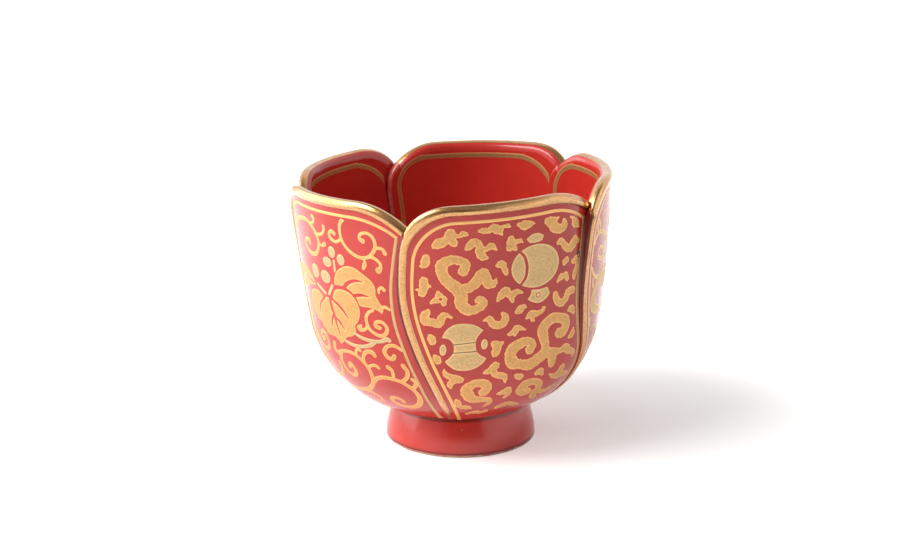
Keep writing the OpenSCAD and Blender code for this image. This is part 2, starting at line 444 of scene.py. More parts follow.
def bump(tree, height, distance, strength, below=None):
    made = node(tree, "ShaderNodeBump")
    dress(tree, made, {"Distance": distance, "Strength": strength, "Height": height})
    if below is not None:
        dress(tree, made, {"Normal": below})
    return made.outputs["Normal"]


def object_coords(tree):
    return node(tree, "ShaderNodeTexCoord").outputs["Object"]


def attribute(tree, name, output="Fac"):
    return node(tree, "ShaderNodeAttribute", attribute_name=name).outputs[output]


def blend(tree, share, low, high):
    """Colour that goes from low to high with a share; each is a colour or an output."""
    made = node(tree, "ShaderNodeMix", share, data_type="RGBA")
    for socket, value in ((made.inputs[6], low), (made.inputs[7], high)):
        join(tree, (*value, 1) if isinstance(value, tuple) else value, socket)
    return made.outputs[2]


def specks(tree, coords, scale, radius, kept):
    """Small round pinholes, in a share of the cells of a lattice."""
    made = node(tree, "ShaderNodeTexVoronoi", coords)
    dress(tree, made, {"Scale": scale})
    spot = span(tree, made.outputs["Distance"], radius * PINHOLE_CORE, radius, 1, 0)
    draw = node(tree, "ShaderNodeSeparateColor", made.outputs["Color"]).outputs["Red"]
    return maths(tree, "MULTIPLY", spot, span(tree, draw, kept, kept + 0.01, 1, 0))


def enamel(name, tint, dark, rough, speck_share, paler_tint=THIN_AND_HIGHLIGHT_TINT):
    """Glossy overglaze enamel: slow changes of tone, pale pinholes, paler thin edges with a painted
    highlight, dark joints of pooled glaze with painted shade, a faint ripple.
    """
    made, tree, bsdf = material(name)
    coords = object_coords(tree)
    colour = ramp(tree, noise(tree, coords, TONE_SCALE, 4, 0.6), (0.3, dark), (0.7, tint))
    pinholes = specks(tree, coords, PINHOLE_SCALE, PINHOLE_R, speck_share)
    colour = blend(tree, pinholes, colour, PINHOLE_TINT)
    patches = span(tree, noise(tree, coords, PATCH_SCALE), 0.35, 0.6, 0.25, 1)
    # Paler where the glaze thins, with a painted highlight along the tongue's edge, and where the foot is
    # bare
    colour = blend(tree, maths(tree, "MULTIPLY", attribute(tree, "thin"), patches), colour, paler_tint)
    # Darker where glaze pools and where shade is painted
    colour = blend(tree, attribute(tree, "pool_and_shade"), colour, POOL_AND_SHADE_TINT)
    gloss = span(tree, noise(tree, coords, GLOSS_SCALE), 0.3, 0.7, rough - 0.04, rough + 0.06)
    ripple = bump(tree, noise(tree, coords, RIPPLE_SCALE, 2), 0.0002, 0.12)
    fine = bump(tree, noise(tree, coords, FINE_SCALE, 2), 0.00004, 0.12, ripple)
    dress(tree, bsdf, {"Base Color": colour, "Roughness": gloss, "Normal": fine, "IOR": ENAMEL_IOR})
    return made


def painted(name, tint, dark, rough, metal):
    """Painted gold: grainy, a little brighter along the brush's edge."""
    made, tree, bsdf = material(name)
    grain = noise(tree, object_coords(tree), FINE_SCALE, 2, 0.7)
    body = ramp(tree, grain, (0.33, dark), (0.67, tint))
    bright = tuple(min(1.0, value * BRUSH_BRIGHT) for value in tint)
    rim = span(tree, attribute(tree, "rim"), 0, 1, 0, BRUSH_EDGE)
    dress(tree, bsdf, {
        "Base Color": blend(tree, rim, body, bright),
        "Roughness": span(tree, grain, 0.3, 0.7, rough - 0.06, rough + 0.08),
        "Normal": bump(tree, grain, 0.00004, 0.3),
        "Metallic": metal,
    })
    return made


def burnished(name, tint, dark, worn):
    """Burnished gilding with streaks along the roll and a few worn marks."""
    made, tree, bsdf = material(name)
    coords = object_coords(tree)
    flow = attribute(tree, "flow", "Vector")
    streak = noise(tree, flow, STREAK_SCALE, 4, 0.65)
    grain = noise(tree, coords, GILT_SCALE, 2, 0.7)
    both = maths(tree, "MULTIPLY_ADD", grain, 0.45, span(tree, streak, 0, 1, -0.05, 0.6))
    colour = ramp(tree, both, (0.36, dark), (0.6, tint))
    spots = span(tree, noise(tree, coords, WEAR_SCALE, 5, 0.75), 0.71, 0.76, 0, 0.75)
    scuffs = span(tree, noise(tree, flow, SCUFF_SCALE, 4, 0.7), 0.68, 0.72, 0, 0.8)
    ridges = bump(tree, streak, 0.00006, 0.35)
    dress(tree, bsdf, {
        "Base Color": blend(tree, maths(tree, "MAXIMUM", spots, scuffs), colour, worn),
        "Roughness": span(tree, both, 0.3, 0.7, 0.32, 0.2),
        "Normal": bump(tree, grain, 0.00003, 0.25, ridges),
        "Metallic": 1.0,
        "Coat Weight": 0.8,
        "Coat Roughness": 0.18,
        "Coat IOR": 1.6,
    })
    return made


def matt_clay(name, tint, dark):
    """Bare fired clay, matt and grainy."""
    made, tree, bsdf = material(name)
    grain = noise(tree, object_coords(tree), CLAY_SCALE, 4, 0.7)
    dress(tree, bsdf, {
        "Base Color": ramp(tree, grain, (0.3, dark), (0.7, tint)),
        "Roughness": 0.85,
        "Normal": bump(tree, grain, 0.0001, 0.5),
    })
    return made


red = enamel("red_enamel", RED, DARK_RED, 0.19, 0.03)
# The foot's enamel is a lighter copy of the body's red: painted light for the brighter foot
foot_red = enamel("foot_enamel", (0.67, 0.045, 0.030), (0.59, 0.036, 0.025), 0.14, 0.3, BARE_TINT)
roll_red = enamel("roll_enamel", RED, DARK_RED, 0.2, 0.1)
# Enamel of the rolls' flanks, a little darker: pooled glaze with painted shade
groove_red = enamel("groove_enamel", RED, (0.46, 0.026, 0.018), 0.3, 0.3)
# Near-black enamel: the kiln speck, the lap lines of pooled glaze with painted shade, and the painted
# shadow on the rolls' ends
lap_dark = enamel("lap_line_enamel", (0.15, 0.022, 0.016), (0.07, 0.012, 0.010), 0.5, 0.2)
gilt = burnished("burnished_gilt", (0.76, 0.41, 0.15), (0.47, 0.215, 0.065), (0.12, 0.06, 0.035))
gold = painted("painted_gold", (0.79, 0.435, 0.16), (0.55, 0.28, 0.095), 0.46, 0.65)
pale_gold = painted("pale_gold", (0.76, 0.51, 0.235), (0.54, 0.345, 0.145), 0.48, 0.55)
berry_gold = painted("berry_gold", (0.64, 0.465, 0.235), (0.47, 0.335, 0.155), 0.48, 0.5)
# A darker copy of the painted gold: painted shade for the lines beside the tongues
shaded_gold = painted("shaded_gold", (0.60, 0.38, 0.16), (0.46, 0.285, 0.115), 0.46, 0.2)
band_ink = painted("band_ink", (0.26, 0.15, 0.07), (0.16, 0.09, 0.045), 0.6, 0.0)
# A darker copy of the painted gold: painted shade for the line inside the cup
inner_shaded_gold = painted("inner_shaded_gold", (0.46, 0.24, 0.085), (0.32, 0.16, 0.055), 0.5, 0.5)
bare_clay = matt_clay("bare_clay", (0.50, 0.40, 0.29), (0.34, 0.25, 0.17))


# Petals: curved clay slabs with a rebate along the leading edge and a rounded tongue
TONGUE_EDGE_R = 0.45
INNER_EDGE_R = 0.9
NO_EDGE = 9.0
# How the paler edge, with its painted highlight, sets in and how far it goes
THIN_HIGHLIGHT_FROM = 1.2
THIN_HIGHLIGHT_MOST = 0.8


def petal(k):
    tops = column_tops(k)[0]
    columns = len(tops)
    column = np.arange(columns)[:, None]
    share = np.linspace(0, 1, ROWS) ** ROW_EASE
    low = SEAT_Z + share[None, :] * (tops[:, 1:] - TOP_ROWS[0] - SEAT_Z)
    high = tops[:, 1:] - np.array(TOP_ROWS)[None, 1:]
    z = np.concatenate([low, high], axis=1)
    rows = z.shape[1]
    top = np.broadcast_to(tops[:, None, :], (columns, rows, 2))
    a = column_arc(k, column, top, z)
    # Depth inside the bare outline of the tongue: its side and its round corner
    corner_z = CUP_H - tongue_r(k)
    corner_a = petal_w(k, z) - tongue_r(k)
    beside = petal_w(k, z) - a
    drop, lean = tongue_fall(k, np.arcsin(np.clip((a - corner_a) / tongue_r(k), 0, 1)))
    under = (CUP_H - tongue_r(k) * drop - z) * np.cos(lean)
    in_round = tongue_r(k) - np.hypot(a - corner_a, z - corner_z)
    in_corner = np.maximum(in_round, np.minimum(under, beside))
    depth = np.where((z > corner_z) & (a > corner_a), in_corner, beside)
    bare = column >= LAP_COLS + FACE_COLS + LIP_CORNER_COLS
    depth = np.where(bare | (z < corner_z), np.maximum(depth, 0), NO_EDGE)
    outer = place(k, a, z, -rounded(depth, TONGUE_EDGE_R))
    inner = place(k, a, z, -thickness(k, column, a, z) + rounded(depth, INNER_EDGE_R))
    skirt_z = np.full((columns, 1), SKIRT_Z)
    skirt = place(k, column_arc(k, column, tops[:, None, :], skirt_z), skirt_z, 0.0)
    outer = np.concatenate([skirt, outer], axis=1)
    rows_out = rows + 1
    points = np.concatenate([outer.reshape(-1, 3), inner.reshape(-1, 3)])
    side = columns * rows_out
    faces = grid_faces(columns, rows_out)
    faces += grid_faces(columns, rows, side, flip=True)
    for i in range(columns - 1):
        o, p = i * rows_out, (i + 1) * rows_out
        q, r = side + i * rows, side + (i + 1) * rows
        faces.append((o, q, r, p)[::-1])
        faces.append((o + rows_out - 1, p + rows_out - 1, r + rows - 1, q + rows - 1)[::-1])
    for i, order in ((0, 1), (columns - 1, -1)):
        o, q = i * rows_out, side + i * rows
        faces.append((o, o + 1, q)[::order])
        for j in range(rows - 1):
            faces.append((o + j + 1, o + j + 2, q + j + 1, q + j)[::order])
    piece = new_piece(PETALS[k] + "_petal_shell", points, faces, [red], PETALS[k] + "_petal", sharp=40)
    # Along the tongue's edge the inner face is painted paler: thinner glaze with a painted highlight
    thin = np.clip(THIN_HIGHLIGHT_FROM - depth / THIN_HIGHLIGHT_W, 0, THIN_HIGHLIGHT_MOST)
    store(piece, "thin", np.concatenate([np.zeros(side), thin.ravel()]))
    return piece


# Rolls: the section as share of the width from clay to outline, and height in crowns or depths
ROLL_SECTION = (
    (-0.1, -0.12), (0.0, 0.12), (0.12, 0.62), (0.32, 1.0), (0.55, 0.92),
    (0.78, 0.5), (0.97, -0.06), (0.97, -0.36), (0.82, -0.7), (0.58, -0.97),
)
FLANK_SECTION = ROLL_SECTION[:7] + ((0.97, -0.36), (0.99, -0.7), (1.06, -1.0))
GILT_STEPS = 30
RED_STEPS = 12
# Place in the section where the gilding ends: on the flank at a leading edge, inside along the lip
GILT_FLANK = (6.3, 4.9)
GILT_FLANK_Z = (16.0, 36.0)
GILT_INSIDE = (8.2, 8.2, 8.12, 7.95, 8.2)
GILT_TURN = (0.36, 0.52)
# The end beside the neighbour is cut aslant, longest at its lower edge
MITRE = 0.4
# Pooled glaze and painted shade on the flank: its width beside the gilding, the heights where it sets in,
# how dark it is
POOL_SHADE_W = 0.9
POOL_SHADE_Z = (19.0, 33.0)
POOL_SHADE_DARK = (0.68, 0.86)
# Streaks along the roll: their length in millimetres, how close they lie, and how far the rolls differ
STREAK_L = 3
STREAK_CLOSE = 1.6
STREAK_APART = 17
ON_GILT, ON_INSIDE, ON_GROOVE, ON_END = range(4)


def curve_weights(count, t):
    """Weights that turn control points into points of a smooth curve through them, at places t."""
    ends = with_ends(np.eye(count))
    i = np.clip(np.floor(t).astype(int), 0, count - 2)
    return smooth(*(ends[i + step] for step in range(4)), (t - i)[..., None])


def roll(k):
    tops, outline = column_tops(k)
    edge_z = mix(SEAT_Z, tops[0, 1], np.linspace(0, 1, ROWS) ** ROW_EASE)[:-1]
    edge_z = np.concatenate([[SKIRT_Z], edge_z])
    share = np.linspace(0, 1, LIP_CORNER_COLS + 1)[1:]
    slant = roll_end(k) * share + MITRE / (tongue_r(k) - LIP_ROLL_W) * share**2
    over_tongue = tongue_top(k, slant, LIP_ROLL_W)
    straight = tops[: len(outline) - LIP_CORNER_COLS]
    clay = np.concatenate([np.stack([edge_w(edge_z), edge_z], axis=-1), straight, over_tongue])
    edge = np.concatenate([np.stack([0 * edge_z, edge_z], axis=-1), outline])
    column = np.concatenate([np.zeros(len(edge_z)), np.arange(len(outline))])
    corner = np.concatenate([0 * edge_z, lead_angle(tops[: len(outline), 0])])
    turned = part_of(corner, *GILT_TURN)
    section = mix(np.array(FLANK_SECTION)[None], np.array(ROLL_SECTION)[None], turned[:, None, None])
    spot = clay[:, None, :] + (edge - clay)[:, None, :] * section[..., :1]
    high = crown(np.maximum(clay[:, 1], SEAT_Z))[:, None]
    deep = thickness(k, column, clay[:, 0], clay[:, 1])
    out = section[..., 1] * np.where(section[..., 1] > 0, high, deep[:, None])
    on_flank = mix(*GILT_FLANK, part_of(clay[:, 1], *GILT_FLANK_Z))
    gilt_end = mix(on_flank, GILT_INSIDE[k], eased(turned))[:, None]
    t = np.concatenate(
        [
            gilt_end * np.linspace(0, 1, GILT_STEPS + 1)[None, :],
            mix(gilt_end, len(ROLL_SECTION) - 1.0, np.linspace(0, 1, RED_STEPS + 1)[None, 1:]),
        ],
        axis=1,
    )
    weights = curve_weights(len(ROLL_SECTION), t)
    spot = np.einsum("spc,scx->spx", weights, spot)
    out = np.einsum("spc,sc->sp", weights, out)
    points = place(k, spot[..., 0], spot[..., 1], out)
    foot_of = place(k, clay[:, 0], clay[:, 1], -deep)[:, None, :]
    points = np.concatenate([points, foot_of], axis=1)
    stations, count = points.shape[:2]
    faces = []
    face_slots = []
    for s in range(stations - 1):
        for p in range(count):
            q = (p + 1) % count
            faces.append((s * count + p, (s + 1) * count + p, (s + 1) * count + q, s * count + q))
            flank = ON_GROOVE if turned[s] < 1 else ON_INSIDE
            face_slots.append(ON_GILT if p < GILT_STEPS else flank)
    faces.append(tuple(range(count)))
    face_slots.append(ON_GILT)
    # The far end takes the near-black enamel: a painted shadow where the roll ends
    faces.append(tuple((stations - 1) * count + p for p in range(count))[::-1])
    face_slots.append(ON_END)
    piece = new_piece(
        PETALS[k] + "_rolled_edge", points.reshape(-1, 3), faces, [gilt, roll_red, groove_red, lap_dark],
        PETALS[k] + "_gilt_roll", face_slots, sharp=60,
    )
    along = np.concatenate([[0], np.cumsum(np.linalg.norm(np.diff(points[:, 0], axis=0), axis=1))]) / MM
    flow = np.zeros((stations, count, 3))
    flow[..., 0] = along[:, None] / STREAK_L + STREAK_APART * k
    flow[:, :-1, 1] = t * STREAK_CLOSE
    flow[:, -1, 1] = flow[:, -2, 1]
    layer = piece.data.attributes.new("flow", "FLOAT_VECTOR", "POINT")
    layer.data.foreach_set("vector", flow.astype(np.float32).ravel())
    # Pooled glaze and painted shade darken the flank beside the gilding and, high up, all of it
    dark = np.zeros((stations, count))
    beside = np.clip(1 - (t - gilt_end) / POOL_SHADE_W, 0, 1)
    high_up = part_of(clay[:, 1], *POOL_SHADE_Z)[:, None]
    dark[:, :-1] = (1 - turned)[:, None] * high_up * mix(*POOL_SHADE_DARK, beside)
    store(piece, "pool_and_shade", dark)
    return piece


for k in range(len(PETALS)):
    petal(k)
    roll(k)

# Foot ring: turned, its top fitted under the bowl, with a dark band of pooled glaze and painted shade
# there, and a bare standing edge
FOOT_COLS = 180
FOOT_BEND = 1.5
BORE_TOP_Z = RECESS_H + 0.4
# Rows of the wall: fine below the first height, coarse up to the second, fine from the third
WALL_ROWS_Z = (1.2, NECK_H - 0.4, NECK_H - 0.3)
BOWL_GAP = 0.1
# Painted shade under the bowl's round, over the pooled glaze: its height, how fast it sets in, how dark
# it is
CREASE_SHADE_H = 0.95
CREASE_SHADE_GAIN = 1.6
CREASE_SHADE_DARK = 0.72
# A darker band round the foot just above its bare standing edge: its height, half width, how fast it sets
# in, how dark it is
LOW_BAND_Z = 0.75
LOW_BAND_H = 0.3
LOW_BAND_GAIN = 1.5
LOW_BAND_DARK = 0.7
BARE_Z = 0.6
BARE_FADE = 0.12
STANDING_Z = 0.06


def foot_ring():
    bore_r = FOOT_BORE_D / 2
    foot_r = FOOT_D / 2
    chamfer = np.linspace(0, math.pi / 2, 7)
    edge = np.linspace(0, math.pi / 2, 9)[:-1]
    bore_z = np.linspace(BORE_TOP_Z, FOOT_CHAMFER, 6)[:-1]
    flat_r = np.linspace(bore_r + FOOT_CHAMFER, foot_r - FOOT_EDGE_R, 5)[1:-1]
    low, neck, crease_from = WALL_ROWS_Z
    wall_z = np.concatenate(
        [
            np.linspace(FOOT_EDGE_R, low, 8)[:-1],
            np.linspace(low, neck, 14),
            np.linspace(crease_from, SEAT_Z, 30),
        ]
    )
    wall_up = (wall_z - FOOT_EDGE_R) / (NECK_H - FOOT_EDGE_R)
    wall_r = foot_r - (foot_r - NECK_D / 2) * wall_up**FOOT_BEND
    profile = [
        (np.full(len(bore_z), bore_r), bore_z),
        (bore_r + FOOT_CHAMFER * (1 - np.cos(chamfer)), FOOT_CHAMFER * (1 - np.sin(chamfer))),
        (flat_r, 0 * flat_r),
        (foot_r - FOOT_EDGE_R * (1 - np.sin(edge)), FOOT_EDGE_R * (1 - np.cos(edge))),
        (wall_r, wall_z),
    ]
    rows_r, rows_z = (np.concatenate(run) for run in zip(*profile))
    rows = len(rows_z)
    row = np.arange(rows)
    angle = np.linspace(0, 2 * math.pi, FOOT_COLS, endpoint=False)[:, None]
    radius = np.broadcast_to(rows_r, (FOOT_COLS, rows))
    z = np.broadcast_to(rows_z, radius.shape)
    # The dark band of pooled glaze and painted shade lies where the wall goes in under the bowl's round
    middle = BOWL_SHIFT * np.cos(angle)
    bowl = np.sqrt(np.maximum(0, bowl_r(z) ** 2 - (BOWL_SHIFT * np.sin(angle)) ** 2)) - middle
    is_wall = (row >= rows - len(wall_z)) & (z > neck)
    under = is_wall & (bowl - BOWL_GAP > radius)
    crease_z = np.where(under.any(axis=1), z[0, np.argmax(under, axis=1)], SEAT_Z)[:, None]
    pool_and_shade = np.where(is_wall, np.clip(CREASE_SHADE_GAIN * (1 - (crease_z - z) / CREASE_SHADE_H), 0, 1), 0)
    outside = row >= rows - len(wall_z) - len(edge)
    low_band = np.where(outside, np.clip(LOW_BAND_GAIN * (1 - abs(z - LOW_BAND_Z) / LOW_BAND_H), 0, 1), 0)
    bare = np.where(outside, np.clip((BARE_Z - z) / BARE_FADE, 0, 1), 0)
    points = np.stack([radius * np.cos(angle), radius * np.sin(angle), z], axis=-1) * MM
    faces = grid_faces(FOOT_COLS, rows, closed=True)
    mean_z = (rows_z[1:] + rows_z[:-1]) / 2
    standing = (mean_z < STANDING_Z) & (row[:-1] >= len(bore_z))
    face_slots = np.tile(np.where(standing, 1, 0), FOOT_COLS).tolist()
    for i in range(FOOT_COLS):
        j = (i + 1) % FOOT_COLS
        faces.append((i * rows, j * rows, (j + 1) * rows - 1, (i + 1) * rows - 1))
        face_slots.append(0)
    slots = [foot_red, bare_clay]
    piece = new_piece("turned_foot_ring", points.reshape(-1, 3), faces, slots, "foot_ring", face_slots)
    store(piece, "pool_and_shade", np.maximum(pool_and_shade * CREASE_SHADE_DARK, low_band * LOW_BAND_DARK))
    store(piece, "thin", bare)


foot_ring()

floor_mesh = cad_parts["cup_floor"].data
floor_mesh.materials.clear()
floor_mesh.materials.append(red)
floor_mesh.shade_smooth()
floor_mesh.set_sharp_from_angle(angle=math.radians(40))


# Painted ornament: drawn on the unrolled petal, u across from its middle and z up, in millimetres
DRAW_STEP = 0.1
DRAW_U = (-21.0, 21.0)
DRAW_Z = (7.2, 53.0)
FILM_H = 0.045
FILM_EDGE_H = 0.012
FILM_ROOT = 0.03
BEVEL = 0.13
RIM = 0.3
FILL_STEP = 0.9
FILL_INSET = 0.25
FAR = -9.0
NEAR = 0.9
STROKE_PAD = 0.4
LONGEST = 0.5


def mid_arc(k, z):
    """Arc from a petal's leading edge to its middle."""
    return bowl_r(z) * ((seam_start(k) + seam_start(k + 1)) / 2 - seam(k, z))


def arc_of(k, u, z):
    return u + mid_arc(k, z)


def across(k, a, z):
    return a - mid_arc(k, z)


def smooth_line(points, closed=False, steps=6):
    p = np.array(points, float)
    ends = np.vstack([p[-1], p, p[0], p[1]]) if closed else with_ends(p)
    t = (np.arange(steps) / steps)[None, :, None]
    line = smooth(*(ends[i : len(ends) - 3 + i, None, :] for i in range(4)), t)
    line = line.reshape(-1, p.shape[1])
    return line if closed else np.vstack([line, p[-1]])


draw_u = np.arange(DRAW_U[0], DRAW_U[1], DRAW_STEP)
draw_z = np.arange(DRAW_Z[0], DRAW_Z[1], DRAW_STEP)
grid_u, grid_z = np.meshgrid(draw_u, draw_z)


def window(points, pad):
    low = points[:, :2].min(axis=0) - pad
    high = points[:, :2].max(axis=0) + pad
    i0, i1 = np.searchsorted(draw_u, (low[0], high[0]))
    j0, j1 = np.searchsorted(draw_z, (low[1], high[1]))
    return slice(j0, j1), slice(i0, i1)


def near_line(field, line, pad, better):
    """Go along a line and update the field near each of its segments."""
    for a, b in zip(line[:-1], line[1:]):
        part = window(np.array([a, b]), pad)
        u, z = grid_u[part], grid_z[part]
        d = b - a
        t = np.clip(((u - a[0]) * d[0] + (z - a[1]) * d[1]) / max(d[0] ** 2 + d[1] ** 2, 1e-9), 0, 1)
        gap = np.hypot(u - a[0] - t * d[0], z - a[1] - t * d[1])
        field[part] = better(field[part], gap, a, d, t)


def brushed(field, points):
    """Depth inside a brush stroke whose points are (u, z, width)."""
    line = smooth_line(points)
    pad = line[:, 2].max() / 2 + STROKE_PAD
    near_line(field, line, pad, lambda old, gap, a, d, t: np.maximum(old, (a[2] + d[2] * t) / 2 - gap))


def filled(field, points):
    """Depth inside a closed outline."""
    line = smooth_line(points, closed=True)
    ring = np.vstack([line, line[:1]])
    gap = np.full(field.shape, NEAR)
    near_line(gap, ring, NEAR, lambda old, gap, a, d, t: np.minimum(old, gap))
    inside = np.zeros(field.shape, bool)
    for a, b in zip(ring[:-1], ring[1:]):
        j0, j1 = np.searchsorted(draw_z, sorted((a[1], b[1])))
        if j1 > j0:
            cross = a[0] + (draw_z[j0:j1] - a[1]) * (b[0] - a[0]) / (b[1] - a[1])
            inside[j0:j1] ^= draw_u[None, :] < cross[:, None]
    np.maximum(field, np.where(inside, gap, np.where(gap < NEAR, -gap, FAR)), out=field)


def drawing(strokes=(), blobs=(), cuts=()):
    """Field of depth inside the painted shapes."""
    field = np.full(grid_u.shape, FAR)
    for points in strokes:
        brushed(field, points)
    for points in blobs:
        filled(field, points)
    if len(cuts):
        field = np.minimum(field, -drawing(cuts))
    return field


def contours(field, level):
    """Closed outlines of the field at a level, with the inside on the left."""
    f = np.pad(field - level, 1, constant_values=FAR)
    inside = f > 0
    corners = [(0, 0), (0, 1), (1, 1), (1, 0)]
    count = sum(inside[j : j + f.shape[0] - 1, i : i + f.shape[1] - 1].astype(int) for j, i in corners)
    wide = f.shape[1]
    follow = {}
    spots = {}
    for j, i in zip(*np.nonzero((count > 0) & (count < 4))):
        cell = [(j + dj, i + di) for dj, di in corners]
        starts, stops = [], []
        for edge in range(4):
            p, q = cell[edge], cell[(edge + 1) % 4]
            if inside[p] == inside[q]:
                continue
            low, high = min(p, q), max(p, q)
            key = (low[0] * wide + low[1]) * 2 + (low[1] == high[1])
            t = f[low] / (f[low] - f[high])
            spots[key] = (low[1] + t * (high[1] - low[1]), low[0] + t * (high[0] - low[0]))
            (starts if inside[p] else stops).append((edge, key))
        if len(starts) == 2:
            middle = f[j : j + 2, i : i + 2].mean() > 0
            for edge, key in starts:
                partner = (edge + 1) % 4 if middle else (edge - 1) % 4
                follow[key] = next(other for side, other in stops if side == partner)
        else:
            follow[starts[0][1]] = stops[0][1]
    loops = []
    while follow:
        first = key = next(iter(follow))
        loop = []
        while key in follow:
            loop.append(spots[key])
            key = follow.pop(key)
        if key == first and len(loop) > 5:
            line = (np.array(loop) - 1) * DRAW_STEP + np.array([draw_u[0], draw_z[0]])
            loops.append(thinned(line))
    return [loop for loop in loops if len(loop) > 2]


def thinned(line, slack=0.012):
    """A closed line with the points left out that lie almost on the line between their neighbours."""
    far = int(np.argmax(np.hypot(*(line - line[0]).T)))
    keep = np.zeros(len(line) + 1, bool)
    keep[[0, far, len(line)]] = True
    ring = np.vstack([line, line[:1]])
    stack = [(0, far), (far, len(line))]
    while stack:
        i, j = stack.pop()
        if j - i < 2:
            continue
        way = ring[j] - ring[i]
        rest = ring[i + 1 : j] - ring[i]
        length = max(math.hypot(*way), 1e-9)
        off = np.abs(rest[:, 0] * way[1] - rest[:, 1] * way[0]) / length
        if off.max() > slack or length > LONGEST:
            m = i + 1 + int(np.argmax(off)) if off.max() > slack else (i + j) // 2
            keep[m] = True
            stack += [(i, m), (m, j)]
    return ring[:-1][keep[:-1]]


def field_at(field, points):
    i = np.clip(((points[:, 0] - draw_u[0]) / DRAW_STEP).round().astype(int), 0, len(draw_u) - 1)
    j = np.clip(((points[:, 1] - draw_z[0]) / DRAW_STEP).round().astype(int), 0, len(draw_z) - 1)
    return field[j, i]


def film(name, k, field, made, inside_face=False):
    """A thin closed film of gilding over the painted shapes of a field, on petal k."""
    outlines = contours(field, 0)
    insets = contours(field, BEVEL) + contours(field, RIM)
    points, edges, faces = [], [], []
    for loop in outlines + insets:
        if np.sum(loop[:, 0] * np.roll(loop[:, 1], -1) - loop[:, 1] * np.roll(loop[:, 0], -1)) < 0:
            loop = loop[::-1]
        ids = list(range(len(points), len(points) + len(loop)))
        points += loop.tolist()
        if len(faces) < len(outlines):
            faces.append(ids)
        else:
            edges += list(zip(ids, ids[1:] + ids[:1]))
    fill_u, fill_z = np.meshgrid(np.arange(*DRAW_U, FILL_STEP), np.arange(*DRAW_Z, FILL_STEP))
    fill_u[::2] += FILL_STEP / 2
    fill = np.stack([fill_u.ravel(), fill_z.ravel()], axis=-1)
    fill = fill[field_at(field, fill) > RIM + FILL_INSET]
    points += fill.tolist()
    flat, _, tris, _, _, owners = delaunay_2d_cdt([Vector(p) for p in points], edges, faces, 1, 1e-5)
    tris = np.array([tri for tri, owner in zip(tris, owners) if len(owner) % 2 == 1])
    used, tris = np.unique(tris, return_inverse=True)
    tris = tris.reshape(-1, 3)
    flat = np.array([tuple(p) for p in flat])[used]
    depth = field_at(field, flat)
    sides = dict.fromkeys((p, q) for tri in tris.tolist() for p, q in zip(tri, tri[1:] + tri[:1]))
    border = [(p, q) for p, q in sides if (q, p) not in sides]
    on_border = np.zeros(len(flat), bool)
    on_border[[p for p, _ in border]] = True
    high = np.where(on_border, FILM_EDGE_H, FILM_H)
    u, z = flat[:, 0], flat[:, 1]
    a = arc_of(k, u, z)
    side = -1.0 if inside_face else 1.0
    base = -level_wall(z) if inside_face else 0.0
    upper = place(k, a, z, base + side * high)
    lower = place(k, a, z, base - side * FILM_ROOT)
    count = len(flat)
    faces = tris.tolist() + (tris[:, ::-1] + count).tolist()
    faces += [(q, p, p + count, q + count) for p, q in border]
    if inside_face:
        faces = [face[::-1] for face in faces]
    piece = new_piece(name, np.concatenate([upper, lower]), faces, [made], sharp=70)
    rim = np.where(on_border, 1.0, 1 - part_of(depth, BEVEL, RIM))
    store(piece, "rim", np.concatenate([rim, rim]))


